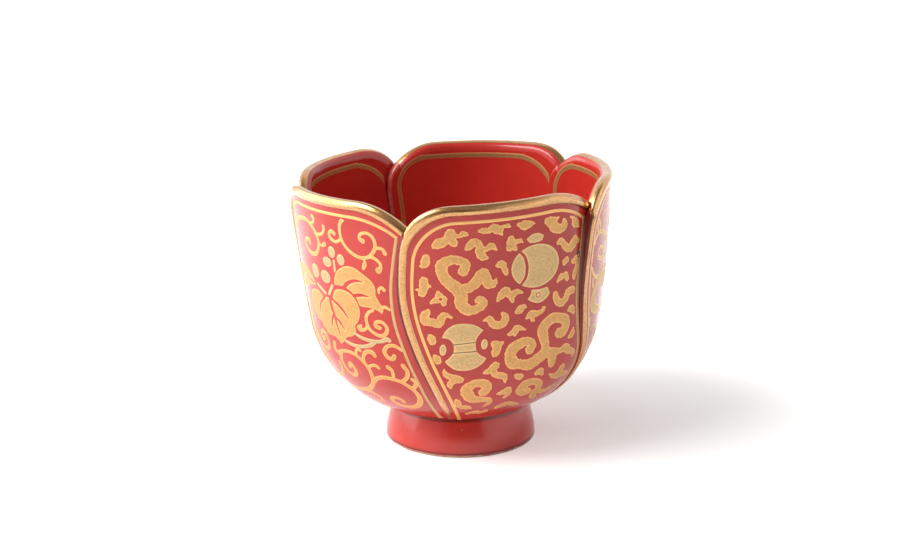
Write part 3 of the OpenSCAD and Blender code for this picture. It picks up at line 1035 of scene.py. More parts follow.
# Clouds and wisps as brush strokes: points are (across, height, width) in millimetres
CLOUDS = [
    # Upper left cloud: a body with a curl above and below, and a branch to the right
    [(-8.6, 40.8, 1.9), (-8.1, 42.0, 1.5), (-9.3, 42.7, 1.6), (-10.9, 42.9, 1.7), (-12.3, 41.9, 2.2),
     (-12.2, 40.3, 2.0), (-11.4, 39.0, 2.1), (-9.9, 37.7, 2.3), (-9.0, 36.3, 2.3), (-8.9, 34.7, 2.3),
     (-7.7, 33.4, 1.9), (-6.2, 33.6, 1.6), (-5.1, 34.5, 1.7), (-5.6, 35.4, 1.3), (-6.2, 35.2, 0.9)],
    [(-9.3, 37.3, 2.0), (-7.5, 37.7, 1.9), (-6.1, 38.9, 2.0), (-5.2, 40.0, 2.2), (-4.5, 39.4, 1.6),
     (-4.2, 38.2, 1.9), (-3.2, 38.1, 1.2), (-2.7, 39.0, 0.3)],
    # Lower right cloud: two curls on one stem, with a foot and a long tail
    [(4.3, 24.6, 1.9), (4.9, 25.4, 1.4), (3.9, 26.2, 1.7), (2.4, 26.1, 2.0), (0.9, 25.3, 2.3),
     (0.4, 23.9, 2.2), (1.0, 22.4, 2.4), (2.7, 21.9, 1.9), (4.4, 21.5, 2.4), (6.0, 22.2, 2.5),
     (7.5, 23.3, 2.3), (7.7, 24.8, 1.8), (7.2, 26.5, 2.1), (7.0, 28.1, 2.4), (8.7, 29.6, 2.1),
     (10.6, 29.5, 1.9), (12.4, 28.7, 2.1), (12.7, 27.4, 2.2), (11.9, 26.4, 2.0), (10.9, 26.5, 2.0)],
    [(7.6, 23.2, 2.0), (9.6, 22.9, 2.0), (11.4, 22.8, 1.2), (13.1, 23.0, 1.8), (14.2, 22.2, 1.5),
     (15.3, 21.8, 1.2), (16.1, 21.1, 1.0), (15.9, 20.4, 0.4)],
    [(9.6, 22.6, 2.2), (9.8, 21.3, 2.0), (9.9, 20.5, 1.6)],
    # Curls low on the bowl
    [(-3.6, 16.7, 2.0), (-3.1, 17.6, 1.6), (-3.8, 18.5, 1.8), (-5.3, 18.8, 1.8), (-6.9, 17.7, 2.1),
     (-6.5, 16.3, 2.1), (-5.4, 15.1, 1.8), (-3.6, 14.8, 1.4), (-2.2, 14.5, 1.2), (-1.9, 13.7, 0.9),
     (-2.7, 12.9, 0.3)],
    [(5.2, 15.9, 0.9), (5.8, 15.2, 1.2), (4.6, 15.0, 1.4), (3.6, 16.0, 1.7), (4.4, 17.2, 1.9),
     (6.2, 17.4, 1.5), (7.8, 16.6, 1.5), (7.9, 15.4, 1.7), (7.3, 14.2, 1.8), (7.8, 13.2, 1.3)],
    [(7.8, 15.0, 1.2), (9.6, 14.1, 1.0), (11.6, 14.4, 0.8), (13.0, 15.0, 0.4)],
]
WISPS = [
    # Under the lip, from left to right
    [(-13.5, 45.6, 1.1), (-12.7, 46.0, 1.9), (-11.4, 46.6, 1.4), (-10.7, 47.7, 1.8)],
    [(-11.0, 47.2, 1.7), (-10.2, 46.0, 1.4)],
    [(-10.4, 47.3, 1.3), (-9.4, 47.2, 0.7), (-8.5, 47.6, 1.0), (-7.7, 47.3, 0.3)],
    [(-5.8, 47.9, 0.4), (-4.9, 47.9, 1.1), (-4.1, 47.8, 0.8), (-3.2, 48.2, 1.5), (-2.2, 47.8, 1.5),
     (-1.3, 48.3, 0.6), (-0.6, 48.4, 0.8), (-0.1, 48.2, 0.4)],
    [(-2.2, 47.9, 1.2), (-1.7, 47.0, 0.6)],
    [(1.6, 48.3, 0.7), (2.8, 48.0, 1.7), (3.9, 48.1, 1.1), (4.8, 48.0, 0.3)],
    [(7.6, 48.0, 1.2), (8.6, 47.6, 2.0), (9.4, 46.6, 2.0), (10.8, 46.1, 1.6), (11.9, 46.5, 1.7),
     (11.8, 47.3, 1.0)],
    [(8.8, 48.0, 1.2), (9.8, 48.0, 0.7), (10.5, 48.2, 0.3)],
    [(13.6, 47.7, 0.3), (14.4, 47.3, 0.7), (15.0, 46.4, 1.8), (15.6, 46.1, 1.4), (16.3, 45.4, 0.3)],
    [(-8.0, 44.8, 0.6), (-7.4, 45.4, 1.4), (-6.5, 46.0, 1.4), (-5.7, 45.2, 1.3), (-5.7, 44.2, 1.6),
     (-5.2, 43.2, 1.4), (-4.3, 43.0, 0.4)],
    [(-5.4, 44.5, 0.9), (-4.4, 44.6, 1.0), (-3.6, 45.1, 1.1), (-2.8, 44.4, 0.5)],
    [(0.1, 46.0, 1.1), (0.0, 45.2, 1.6), (-0.3, 44.2, 1.1)],
    [(0.2, 45.0, 1.4), (0.8, 44.1, 0.9)],
    [(0.4, 45.2, 1.0), (1.3, 45.3, 0.8), (1.8, 45.4, 0.8), (2.3, 45.0, 0.3)],
    [(10.2, 43.6, 0.8), (10.9, 43.9, 1.1), (11.8, 42.9, 1.4), (13.0, 42.1, 1.6), (14.2, 42.6, 1.9),
     (14.9, 43.4, 1.6)],
    [(14.6, 43.0, 1.6), (15.9, 43.0, 0.9)],
    # Down the left edge
    [(-15.0, 43.4, 1.3), (-15.2, 42.5, 1.6), (-15.5, 41.9, 1.0), (-16.1, 41.8, 0.3)],
    [(-15.5, 39.0, 1.6), (-15.5, 37.9, 1.6), (-15.8, 36.8, 1.5)],
    [(-15.2, 38.2, 1.0), (-14.2, 38.0, 0.3)],
    [(-16.0, 37.3, 0.9), (-16.8, 37.4, 0.3)],
    [(-13.0, 36.9, 0.6), (-12.8, 36.2, 1.3), (-12.1, 35.6, 1.3), (-12.0, 34.7, 0.9)],
    [(-14.2, 35.0, 0.6), (-13.2, 35.5, 1.2), (-12.2, 35.7, 1.2), (-11.5, 35.7, 0.4)],
    [(-14.8, 33.2, 1.0), (-15.3, 32.5, 1.6), (-15.3, 31.4, 1.6), (-14.0, 31.2, 1.6), (-12.8, 31.0, 1.6),
     (-12.3, 32.2, 1.4), (-11.6, 32.6, 1.0), (-10.5, 32.0, 0.3)],
    [(-14.4, 28.5, 0.7), (-14.0, 27.9, 1.5), (-13.8, 27.3, 1.1)],
    [(-13.4, 24.6, 0.6), (-12.9, 23.9, 1.4), (-12.7, 23.4, 1.0)],
    [(-11.5, 21.9, 0.3), (-11.3, 21.0, 0.9), (-10.2, 20.3, 1.2), (-9.2, 19.8, 1.8), (-8.3, 19.6, 1.1)],
    [(-9.6, 19.6, 1.4), (-10.1, 18.8, 1.2), (-9.9, 18.0, 0.6)],
    [(-8.3, 15.0, 0.4), (-7.8, 14.2, 1.2), (-7.2, 13.2, 1.0), (-5.8, 12.8, 1.1), (-5.0, 12.6, 0.5)],
    # Between the clouds and the treasures
    [(-2.4, 41.4, 0.9), (-1.7, 41.6, 1.3), (-1.2, 40.6, 1.1), (-0.9, 39.8, 0.9)],
    [(-2.3, 35.0, 0.8), (-1.7, 35.9, 1.5), (-0.9, 36.6, 1.4), (-0.4, 35.8, 1.3), (0.5, 35.7, 1.2),
     (1.2, 36.1, 1.1), (2.4, 35.7, 0.3)],
    [(0.1, 35.6, 1.3), (0.4, 34.4, 0.7)],
    [(1.4, 32.3, 1.0), (2.0, 32.7, 1.5), (2.7, 33.1, 0.8), (3.2, 32.9, 0.3)],
    [(3.2, 30.8, 0.4), (4.2, 31.4, 1.4), (5.2, 31.3, 1.1), (6.3, 31.5, 0.9), (6.9, 32.0, 0.9)],
    [(4.4, 31.2, 1.2), (4.6, 30.2, 0.8)],
    [(-4.9, 31.2, 0.3), (-3.9, 31.6, 1.0), (-3.4, 30.8, 1.4), (-2.6, 30.2, 1.5), (-1.4, 30.4, 1.6),
     (-0.9, 31.4, 1.4), (-1.3, 32.2, 0.9)],
    [(-0.1, 28.2, 0.7), (0.8, 28.5, 1.1), (1.5, 29.2, 1.2), (3.1, 28.6, 0.3)],
    [(1.4, 29.6, 0.5), (1.3, 28.8, 1.2), (1.1, 28.0, 0.7)],
    [(-2.7, 26.6, 1.4), (-2.2, 26.1, 1.7), (-2.5, 24.8, 1.5)],
    [(-1.8, 26.4, 1.2), (-1.1, 26.8, 0.4)],
    [(-4.1, 21.0, 0.7), (-3.2, 21.4, 1.3), (-2.4, 22.2, 1.7)],
    [(-2.8, 21.6, 1.4), (-2.1, 20.4, 1.2), (-1.0, 20.0, 1.4), (-0.2, 19.6, 1.1), (0.0, 18.6, 0.5)],
    [(2.2, 19.5, 1.1), (2.9, 19.2, 1.4)],
    [(6.6, 19.3, 1.2), (7.3, 19.6, 1.4), (7.9, 18.7, 0.7)],
    [(-0.7, 15.9, 0.6), (0.3, 16.2, 1.3), (1.1, 16.6, 1.2), (1.3, 15.6, 1.0), (0.8, 14.8, 0.7)],
    # Down the right edge
    [(11.8, 39.8, 1.2), (12.4, 40.1, 1.2)],
    [(14.2, 39.4, 1.0), (15.0, 39.6, 1.3), (15.9, 40.3, 0.6)],
    [(15.2, 39.3, 1.0), (15.4, 38.3, 0.8), (14.8, 37.2, 1.3), (14.6, 36.2, 0.8)],
    [(10.0, 36.5, 0.5), (10.9, 37.2, 1.2), (11.5, 37.2, 1.0), (12.2, 37.3, 1.3), (12.6, 36.5, 0.9)],
    [(9.6, 34.2, 1.2), (9.9, 33.2, 1.5), (11.0, 32.2, 1.5), (12.3, 32.8, 1.5), (12.9, 33.9, 1.5),
     (14.2, 34.0, 1.5)],
    [(13.3, 30.4, 0.7), (14.2, 30.5, 1.4), (14.8, 29.5, 0.8)],
    [(15.1, 26.3, 0.6), (14.8, 25.4, 1.4), (13.8, 24.9, 0.6)],
    [(9.9, 18.2, 0.4), (11.2, 17.4, 1.2), (12.6, 17.8, 1.6), (13.2, 18.8, 1.6)],
    [(12.4, 17.2, 1.6), (14.2, 17.0, 1.4), (16.0, 16.7, 0.6)],
    # Above the foot
    [(0.2, 12.2, 0.9), (1.4, 12.7, 1.2), (2.4, 12.9, 1.0), (3.4, 12.4, 1.0), (4.6, 12.0, 0.6)],
    [(-5.0, 10.9, 0.6), (-3.6, 11.2, 1.0), (-2.4, 11.0, 0.8), (-1.6, 11.4, 0.9)],
]
WISP_HOLES = [[(-12.6, 35.7, 0.55), (-12.55, 35.7, 0.55)]]


# Treasures: a ball between two fittings, and a weight with a waist and two dark bands
def oval(u, z, wide, high):
    turns = np.arange(12) * math.pi / 6
    return [(u + wide * math.cos(t), z + high * math.sin(t)) for t in turns]


TREASURES = [
    oval(5.2, 40.3, 5.1, 3.95),
    [(3.1, 45.4), (3.1, 45.4), (4.2, 46.1), (5.6, 46.2), (6.8, 45.6), (6.8, 45.6), (6.4, 44.8),
     (6.4, 44.8), (5.1, 44.6), (3.8, 44.7), (3.8, 44.7)],
    [(4.2, 36.0), (4.2, 36.0), (5.9, 35.85), (7.6, 36.0), (7.6, 36.0), (8.2, 34.7), (8.2, 34.7),
     (7.3, 33.8), (5.8, 33.3), (4.4, 33.7), (3.4, 34.3), (3.4, 34.3), (4.0, 35.1)],
    [(-12.2, 28.2), (-12.2, 28.2), (-11.5, 29.6), (-10.3, 30.6), (-8.8, 30.9), (-7.0, 30.7), (-5.7, 30.1),
     (-4.9, 29.4), (-4.9, 29.4), (-5.9, 28.2), (-6.2, 26.8), (-5.9, 25.4), (-5.2, 24.6), (-4.1, 23.9),
     (-4.1, 23.9), (-4.9, 22.8), (-6.3, 21.9), (-8.0, 21.6), (-9.7, 21.9), (-10.9, 22.8), (-11.5, 23.5),
     (-11.5, 23.5), (-10.5, 24.5), (-10.0, 25.7), (-10.2, 27.0), (-10.9, 27.9)],
    oval(-11.95, 25.8, 0.6, 1.1),
    oval(-4.6, 26.7, 0.6, 1.0),
]
TREASURE_CUTS = [
    [(1.2, 44.0, 0.6), (1.9, 43.2, 0.5), (2.75, 42.2, 0.6), (3.2, 40.3, 0.65), (2.9, 38.5, 0.6),
     (2.0, 37.3, 0.5), (1.3, 36.6, 0.6)],
    [(u, z, 0.2) for u, z in oval(5.6, 34.8, 0.45, 0.45)] + [(6.05, 34.8, 0.2)],
]
TREASURE_BANDS = [
    [(-10.2, 26.8, 0.26), (-8.2, 27.0, 0.2), (-6.1, 27.2, 0.2)],
    [(-10.1, 25.2, 0.2), (-8.0, 25.3, 0.2), (-5.9, 25.4, 0.28)],
]

# A dark speck from the kiln near the front petal's right edge
KILN_SPECK = (15.9, 40.4, 0.55, 0.75)

# Vine scroll with leaves and berries
VINES = [
    # Large curl at the upper right, with its side shoots
    [(5.4, 48.7, 0.4), (4.9, 48.6, 0.7), (4.4, 47.6, 0.7), (4.4, 46.0, 0.6), (4.9, 44.6, 0.6),
     (6.0, 43.4, 0.65), (7.6, 42.5, 0.65), (9.2, 42.2, 0.65), (10.8, 42.7, 0.65), (11.9, 44.0, 0.7),
     (12.1, 45.4, 0.65), (11.5, 46.5, 0.6), (10.3, 47.0, 0.55), (9.1, 46.6, 0.6), (8.9, 45.8, 0.6),
     (9.6, 45.4, 0.9)],
    [(4.6, 45.2, 0.6), (4.2, 44.9, 0.6), (3.0, 44.4, 0.6), (1.7, 44.9, 0.7), (1.4, 45.7, 0.7),
     (2.0, 46.3, 0.7), (2.8, 45.9, 0.8)],
    [(12.0, 44.2, 0.6), (12.8, 44.4, 0.6), (13.6, 44.2, 0.6), (14.0, 43.5, 0.8)],
    [(10.8, 42.6, 0.6), (11.8, 42.4, 0.6), (12.8, 41.6, 0.6), (12.9, 40.8, 0.7), (12.4, 40.2, 1.2)],
    [(9.3, 42.2, 0.5), (9.7, 41.5, 0.5), (9.5, 40.9, 0.9), (9.2, 40.2, 0.6)],
    # Curl at the upper left
    [(-13.5, 44.0, 0.9), (-12.0, 45.6, 0.9), (-10.0, 46.6, 0.8), (-7.4, 47.0, 0.8), (-5.2, 46.7, 0.7),
     (-3.4, 45.5, 0.7), (-2.3, 43.8, 0.7), (-2.5, 42.2, 0.75), (-3.6, 40.9, 0.8), (-5.2, 40.6, 0.8),
     (-6.9, 41.1, 0.8), (-7.7, 42.2, 0.8), (-7.1, 43.1, 0.8), (-6.0, 43.2, 0.7), (-5.6, 42.6, 0.8)],
    [(-4.6, 46.6, 0.6), (-3.6, 47.0, 0.6), (-3.3, 47.8, 0.6), (-3.9, 48.2, 0.7)],
    [(-3.2, 45.0, 0.6), (-2.2, 44.9, 0.6), (-0.8, 45.3, 0.6), (-0.1, 46.2, 0.7), (-0.2, 46.8, 0.7)],
    [(-2.2, 43.3, 0.5), (-1.2, 42.9, 0.5), (-0.3, 43.4, 0.9)],
    # Curls beside the right leaf
    [(10.3, 32.4, 0.5), (9.2, 31.8, 0.6), (8.5, 30.6, 0.65), (8.7, 29.0, 0.65), (9.6, 28.0, 0.65),
     (11.2, 27.5, 0.7), (12.4, 28.2, 0.7), (12.7, 29.4, 0.7), (11.8, 30.3, 0.65), (10.6, 30.1, 0.7),
     (10.4, 29.3, 0.7), (11.2, 29.1, 0.8)],
    [(8.6, 29.2, 0.6), (8.0, 28.4, 0.6), (7.0, 28.0, 0.7), (6.4, 28.4, 0.8), (7.0, 28.8, 0.7)],
    [(12.4, 33.2, 0.6), (13.0, 33.3, 0.6), (13.8, 32.9, 0.5)],
    [(12.0, 35.9, 0.4), (12.0, 36.5, 0.5), (12.6, 37.0, 0.6), (13.1, 36.6, 0.7)],
    [(15.0, 25.2, 0.6), (13.6, 25.9, 0.7), (12.2, 25.6, 0.7), (11.4, 24.5, 0.8), (11.9, 23.4, 0.8),
     (12.8, 23.2, 0.8), (13.3, 23.8, 0.8)],
    # Long stem low on the bowl, with its curls
    [(-0.9, 21.7, 0.7), (0.4, 22.4, 0.7), (2.4, 22.8, 0.75), (4.4, 22.5, 0.75), (6.0, 21.4, 0.8),
     (6.8, 19.8, 0.85), (6.6, 18.0, 0.8), (5.6, 16.4, 0.8), (3.6, 15.0, 0.8), (1.2, 14.2, 0.8),
     (-2.0, 13.8, 0.8)],
    [(0.2, 22.0, 0.7), (-0.5, 20.6, 0.8), (-0.4, 19.0, 0.8), (0.5, 17.7, 0.8), (1.8, 17.6, 0.8),
     (2.7, 18.5, 0.8), (2.6, 19.7, 0.8), (1.9, 20.2, 0.8), (1.5, 19.4, 0.9)],
    [(-0.9, 21.6, 0.7), (-1.8, 22.4, 0.8), (-1.5, 23.6, 0.9)],
    [(4.6, 22.6, 0.6), (4.7, 23.4, 0.6), (5.5, 24.0, 0.7), (5.8, 23.7, 0.6)],
    [(6.1, 21.4, 0.7), (6.3, 22.6, 0.7), (7.2, 23.7, 0.8), (8.6, 23.9, 0.9), (9.1, 23.3, 0.8)],
    [(6.7, 20.2, 0.6), (7.4, 20.9, 0.6), (8.6, 21.2, 0.7), (9.2, 20.8, 0.7)],
    [(6.6, 17.4, 0.8), (7.6, 18.2, 0.8), (9.2, 18.8, 0.8), (11.2, 18.8, 0.8), (13.2, 18.2, 0.85),
     (14.6, 16.6, 0.9), (14.4, 14.6, 0.9), (12.6, 12.8, 0.8), (10.2, 11.9, 0.8), (8.2, 12.2, 0.8),
     (7.6, 13.2, 0.7), (8.6, 14.1, 0.7), (9.9, 14.0, 0.7), (10.1, 13.3, 0.8)],
    [(11.6, 18.9, 0.6), (11.9, 19.8, 0.6), (12.0, 20.7, 0.7), (11.4, 21.3, 0.9)],
    [(13.0, 18.4, 0.7), (14.4, 19.4, 0.7), (15.1, 20.8, 0.8), (14.6, 22.0, 0.9)],
    [(14.4, 17.0, 0.7), (15.2, 17.6, 0.7), (15.9, 18.5, 0.8), (15.5, 19.2, 0.8)],
    [(-7.8, 22.2, 0.8), (-6.2, 21.4, 0.8), (-4.4, 21.8, 0.8), (-3.7, 23.2, 0.8), (-4.4, 24.6, 0.8),
     (-5.8, 24.9, 0.8), (-6.7, 24.0, 0.8), (-6.2, 23.2, 0.8), (-5.4, 23.6, 0.9)],
    [(-1.8, 19.4, 0.8), (-2.2, 17.6, 0.8), (-4.0, 16.0, 0.8), (-6.0, 15.4, 0.8)],
    [(2.2, 14.2, 0.7), (3.4, 14.3, 0.7), (4.8, 13.4, 0.7), (4.6, 12.4, 0.7)],
    # Stem and curls at the lower left, on the side that the photograph hides
    [(-6.0, 15.4, 0.8), (-7.8, 15.6, 0.8), (-9.2, 16.8, 0.8), (-9.6, 18.4, 0.8), (-8.8, 19.7, 0.8),
     (-7.4, 19.8, 0.8), (-6.7, 18.8, 0.8), (-7.2, 17.9, 0.8), (-8.0, 18.1, 0.9)],
    [(-7.8, 22.2, 0.8), (-9.2, 23.0, 0.8), (-10.6, 24.6, 0.8), (-11.4, 26.6, 0.8), (-11.6, 28.6, 0.8),
     (-10.8, 30.2, 0.9)],
    [(-10.2, 24.2, 0.7), (-11.0, 23.4, 0.7), (-11.3, 22.2, 0.7), (-10.6, 21.6, 0.8)],
    [(-11.4, 26.6, 0.7), (-10.4, 27.0, 0.7), (-9.7, 28.0, 0.8), (-10.2, 28.8, 0.8)],
]
LEAVES = [
    [(1.4, 35.9), (1.4, 35.9), (1.7, 37.3), (2.8, 38.9), (4.8, 40.0), (6.8, 40.1), (8.6, 39.3),
     (10.6, 38.0), (11.3, 36.6), (11.2, 35.4), (11.9, 34.0), (12.5, 32.9), (12.1, 31.9), (12.1, 31.9),
     (11.2, 32.5), (9.6, 32.8), (7.7, 32.8), (7.3, 33.2), (7.3, 33.2), (6.5, 34.7), (5.0, 35.7),
     (3.7, 36.0)],
    [(0.3, 33.0), (0.3, 33.0), (1.2, 34.6), (2.6, 35.2), (4.2, 35.2), (5.8, 34.6), (7.0, 33.0),
     (7.2, 31.4), (6.6, 29.8), (5.6, 28.6), (5.5, 27.4), (4.6, 26.4), (3.2, 25.9), (2.4, 25.4),
     (1.8, 24.7), (0.8, 24.0), (0.2, 24.6), (-1.2, 25.1), (-3.0, 25.1), (-4.6, 26.2), (-5.4, 27.0),
     (-7.0, 27.4), (-8.4, 28.8), (-8.8, 30.8), (-8.2, 32.4), (-6.4, 33.3), (-4.6, 33.4), (-3.0, 32.6),
     (-3.0, 32.6)],
    [(-5.4, 34.3), (-5.4, 34.3), (-6.6, 35.8), (-9.0, 37.0), (-12.0, 37.3), (-14.6, 36.4), (-16.0, 34.6),
     (-15.4, 33.0), (-13.4, 32.4), (-11.0, 32.6), (-8.6, 33.6)],
]
VEINS = [
    [(3.9, 35.7, 0.9), (5.2, 36.9, 0.75), (7.0, 37.6, 0.6), (8.8, 37.6, 0.15)],
    [(6.3, 34.6, 0.7), (8.0, 35.0, 0.65), (9.8, 34.9, 0.15)],
    [(0.0, 32.8, 0.6), (2.4, 31.6, 0.7), (4.2, 29.7, 0.25)],
    [(-0.6, 32.8, 0.9), (-0.4, 31.0, 0.9), (0.0, 30.0, 0.8), (0.3, 28.5, 0.65), (1.0, 25.5, 0.25)],
    [(0.5, 29.2, 0.4), (1.6, 28.4, 0.6), (2.6, 27.2, 0.25)],
    [(-0.3, 29.4, 0.6), (-0.8, 28.6, 0.6), (-1.4, 27.0, 0.25)],
    [(-2.4, 32.6, 0.6), (-4.5, 30.8, 0.5), (-5.4, 28.6, 0.15)],
    [(-6.4, 34.6, 0.5), (-9.6, 35.0, 0.45), (-13.2, 34.8, 0.15)],
]
BERRIES = [
    (1.6, 42.2, 0.95, 1.1), (3.9, 41.1, 0.95, 1.05), (-0.1, 40.0, 1.3, 0.95),
    (-4.8, 37.3, 1.35, 1.4), (-1.2, 36.9, 1.5, 1.25),
]
TWIGS = [
    [(2.0, 40.6, 0.5), (2.0, 38.6, 0.5)],
    [(-4.5, 34.7, 0.6), (-1.9, 33.5, 0.6)],
    [(0.7, 35.5, 0.6), (-0.7, 33.6, 0.6)],
    [(5.3, 27.0, 0.5), (7.0, 26.4, 0.7), (9.0, 26.2, 0.7), (11.0, 26.4, 0.7), (12.3, 27.0, 0.9),
     (12.8, 26.8, 0.8)],
    [(2.4, 24.9, 0.6), (4.5, 24.5, 0.7), (6.8, 24.7, 0.7), (8.6, 25.3, 0.8), (9.6, 26.0, 0.7)],
]

# The right petal's vines are moved over, and have stems of their own in the strip that shows
CLEAR_U = -11.5
VINE_SHIFT = {"right": (5.0, -1.0), "back_left": (0.0, 0.0), "left": (0.0, 0.0)}
RIGHT_VINES = [
    [(-6.4, 21.4, 0.7), (-7.8, 20.4, 0.8), (-9.4, 20.6, 0.8), (-10.2, 21.8, 0.8), (-9.6, 23.0, 0.8),
     (-8.4, 22.9, 0.8), (-8.1, 22.0, 0.9)],
    [(-5.4, 13.8, 0.7), (-7.0, 14.6, 0.8), (-8.6, 16.2, 0.8), (-9.6, 18.2, 0.8)],
    [(-8.4, 16.0, 0.7), (-7.4, 17.0, 0.7), (-7.2, 18.0, 0.8)],
    [(-12.6, 39.6, 0.55), (-13.6, 40.2, 0.6), (-14.7, 39.9, 0.6), (-15.0, 39.0, 0.65), (-14.3, 38.2, 0.7),
     (-12.9, 37.8, 0.75), (-11.0, 37.7, 0.75), (-9.0, 38.2, 0.7), (-7.6, 39.4, 0.6)],
    [(-17.0, 41.4, 0.5), (-16.6, 42.5, 0.65), (-15.4, 43.1, 0.7), (-13.8, 43.0, 0.75),
     (-12.0, 42.3, 0.75), (-10.2, 41.3, 0.8), (-8.9, 40.0, 0.7)],
    [(-15.9, 43.3, 0.4), (-16.3, 44.2, 0.55), (-16.0, 45.0, 0.5)],
    [(-15.0, 43.3, 0.4), (-15.1, 44.6, 0.6), (-15.7, 45.6, 0.55)],
    [(-13.2, 43.2, 0.4), (-12.9, 44.6, 0.6), (-13.3, 46.2, 0.6), (-12.6, 46.9, 0.5)],
    [(-17.2, 37.0, 0.45), (-16.3, 35.7, 0.6), (-15.0, 34.8, 0.7), (-13.4, 34.6, 0.7)],
    [(-16.3, 34.7, 0.4), (-16.0, 33.7, 0.6), (-15.6, 32.9, 0.4)],
    [(-10.5, 35.4, 1.2), (-12.6, 34.3, 1.8), (-14.2, 32.6, 2.0), (-14.7, 30.6, 2.3), (-13.9, 28.9, 2.2),
     (-12.0, 28.0, 1.7), (-10.0, 27.7, 1.0)],
    [(-14.6, 26.9, 0.5), (-14.7, 26.1, 0.8), (-14.3, 25.5, 0.5)],
]
RIGHT_TWIGS = [[(-14.0, 24.2, 0.5), (-12.6, 24.6, 0.7), (-11.0, 24.5, 0.7), (-9.4, 24.0, 0.6)]]

# Painted frame of a panel: along the roll, under the lip and down beside the tongue
LINE_W = 0.55
TONGUE_LINE_W = (0.85, 0.6, 0.6, 0.6, 0.55)
LINE_GAP = 1.2
LINE_TOP = CUP_H - 3.05
LINE_LOW = SKIRT_Z + 0.1
FRAME_CORNER = (6.8, 7.1)
FRAME_BEND_R = 17.0
FRAME_BEND = 9.6
FRAME_END_Z = 46.6
# The line beside the tongue: its gap, which narrows low on the bowl, and its lean high up
TONGUE_LINE = (0.85, 1.2, 1.4, 1.4, 2.05)
TONGUE_LINE_NARROWER = 0.4
TONGUE_LINE_LOW = (15, 8)
TONGUE_LINE_LEAN = 1.0
TONGUE_LINE_HIGH = (30, 46)


def tongue_line(k, z):
    """Arc of the painted line beside the tongue."""
    gap = TONGUE_LINE[k] * (1 - TONGUE_LINE_NARROWER * part_of(z, *TONGUE_LINE_LOW))
    return pitch(k, z) - gap + TONGUE_LINE_LEAN * part_of(z, *TONGUE_LINE_HIGH)


def frame_end(k):
    """Where the frame's top line meets the line beside the tongue."""
    return float(across(k, tongue_line(k, FRAME_END_Z), FRAME_END_Z))


def top_line(k, u):
    """Height of the frame's top line, which bends down towards the tongue."""
    bend = np.clip(u - frame_end(k) + FRAME_BEND, 0, FRAME_BEND_R)
    return LINE_TOP - FRAME_BEND_R + np.sqrt(FRAME_BEND_R**2 - bend**2)


def frame_strokes(k):
    """The frame's line along the roll and under the lip, and its line down beside the tongue."""
    corner_z = LINE_TOP - FRAME_CORNER[1]
    z = np.linspace(LINE_LOW, corner_z, 40)
    turn = np.linspace(0, math.pi / 2, 12)[1:]
    left = np.stack([across(k, edge_w(z) + LINE_GAP, z), z], axis=-1)
    corner_arc = float(edge_w(CUP_H)) + LINE_GAP + FRAME_CORNER[0] * (1 - np.cos(turn))
    turn_z = corner_z + FRAME_CORNER[1] * np.sin(turn)
    corner = np.stack([across(k, corner_arc, turn_z), turn_z], axis=-1)
    u = np.linspace(corner[-1, 0] + 1, frame_end(k), 30)
    top = np.stack([u, top_line(k, u)], axis=-1)
    down_z = np.linspace(top[-1, 1], LINE_LOW, 40)
    right = np.stack([across(k, tongue_line(k, down_z), down_z), down_z], axis=-1)
    over = np.concatenate([left, corner, top])
    lines = ((over, LINE_W), (right, TONGUE_LINE_W[k]))
    return [[np.column_stack([line, np.full(len(line), wide)])] for line, wide in lines]


def panel(k):
    """Depth inside a petal's painted frame, on the drawing grid."""
    a = arc_of(k, grid_u, grid_z)
    sides = np.minimum(a - edge_w(grid_z) - LINE_GAP, tongue_line(k, grid_z) - a)
    lead = np.clip(1 - (a - edge_w(CUP_H) - LINE_GAP) / FRAME_CORNER[0], 0, 1)
    top = top_line(k, grid_u) - FRAME_CORNER[1] * (1 - np.sqrt(1 - lead**2))
    return np.minimum(sides, top - grid_z)


# Painted line on the inner face
INNER_LINE_W = 1.0
INNER_TOP = CUP_H - 2.8
INNER_GAP = 2.6
INNER_CORNER = (8.0, 6.5)
INNER_LEAD = (8.5, 7.0)
INNER_LEAD_START = 0.25
INNER_LEAD_IN = 0.5
INNER_LOW = SEAT_Z + 0.2
INNER_CLEAR = 0.03


def inner_strokes(k):
    """From the neighbour's tongue over the top and down along the petal's own tongue."""
    start = np.linspace(INNER_LEAD_START, math.pi / 2, 12)
    start_z = INNER_TOP - INNER_LEAD[1] * (1 - np.sin(start))
    ahead = INNER_LEAD[0] * (math.cos(INNER_LEAD_START) - np.cos(start))
    start_a = reach(start_z) - INNER_LEAD_IN + ahead
    corner_z = INNER_TOP - INNER_CORNER[1]
    turn = np.linspace(math.pi / 2, 0, 12)
    turn_z = corner_z + INNER_CORNER[1] * np.sin(turn)
    turn_a = petal_w(k, turn_z) - INNER_GAP - INNER_CORNER[0] * (1 - np.cos(turn))
    down_z = np.linspace(corner_z, INNER_LOW, 30)[1:]
    down_a = petal_w(k, down_z) - INNER_GAP
    a = np.concatenate([start_a, turn_a, down_a])
    z = np.concatenate([start_z, turn_z, down_z])
    return [np.column_stack([across(k, a, z), z, np.full(len(z), INNER_LINE_W)])]


# Drift of a motif that is painted a second time: how far, over which lengths, and from petal to petal
SWAY = 0.45
SWAY_RUN = (6, 5)
SWAY_STEP = 1.7


def swayed(lines, phase):
    """The same motif from another hand's turn: points drift slowly across the petal."""
    amount = SWAY if phase else 0.0
    moved = []
    for line in lines:
        points = np.array(line, float)
        u, z = points[:, 0].copy(), points[:, 1].copy()
        points[:, 0] += amount * np.sin(z / SWAY_RUN[0] + phase)
        points[:, 1] += amount * np.sin(u / SWAY_RUN[1] + 2 * phase)
        moved.append(points)
    return moved


def moved_clear(lines, shift):
    """A motif moved across and up, without the lines that then come too far to the left."""
    moved = [np.array(line, float) for line in lines]
    for points in moved:
        points[:, :2] += shift
    return [points for points in moved if shift[0] == 0 or points[:, 0].min() > CLEAR_U]


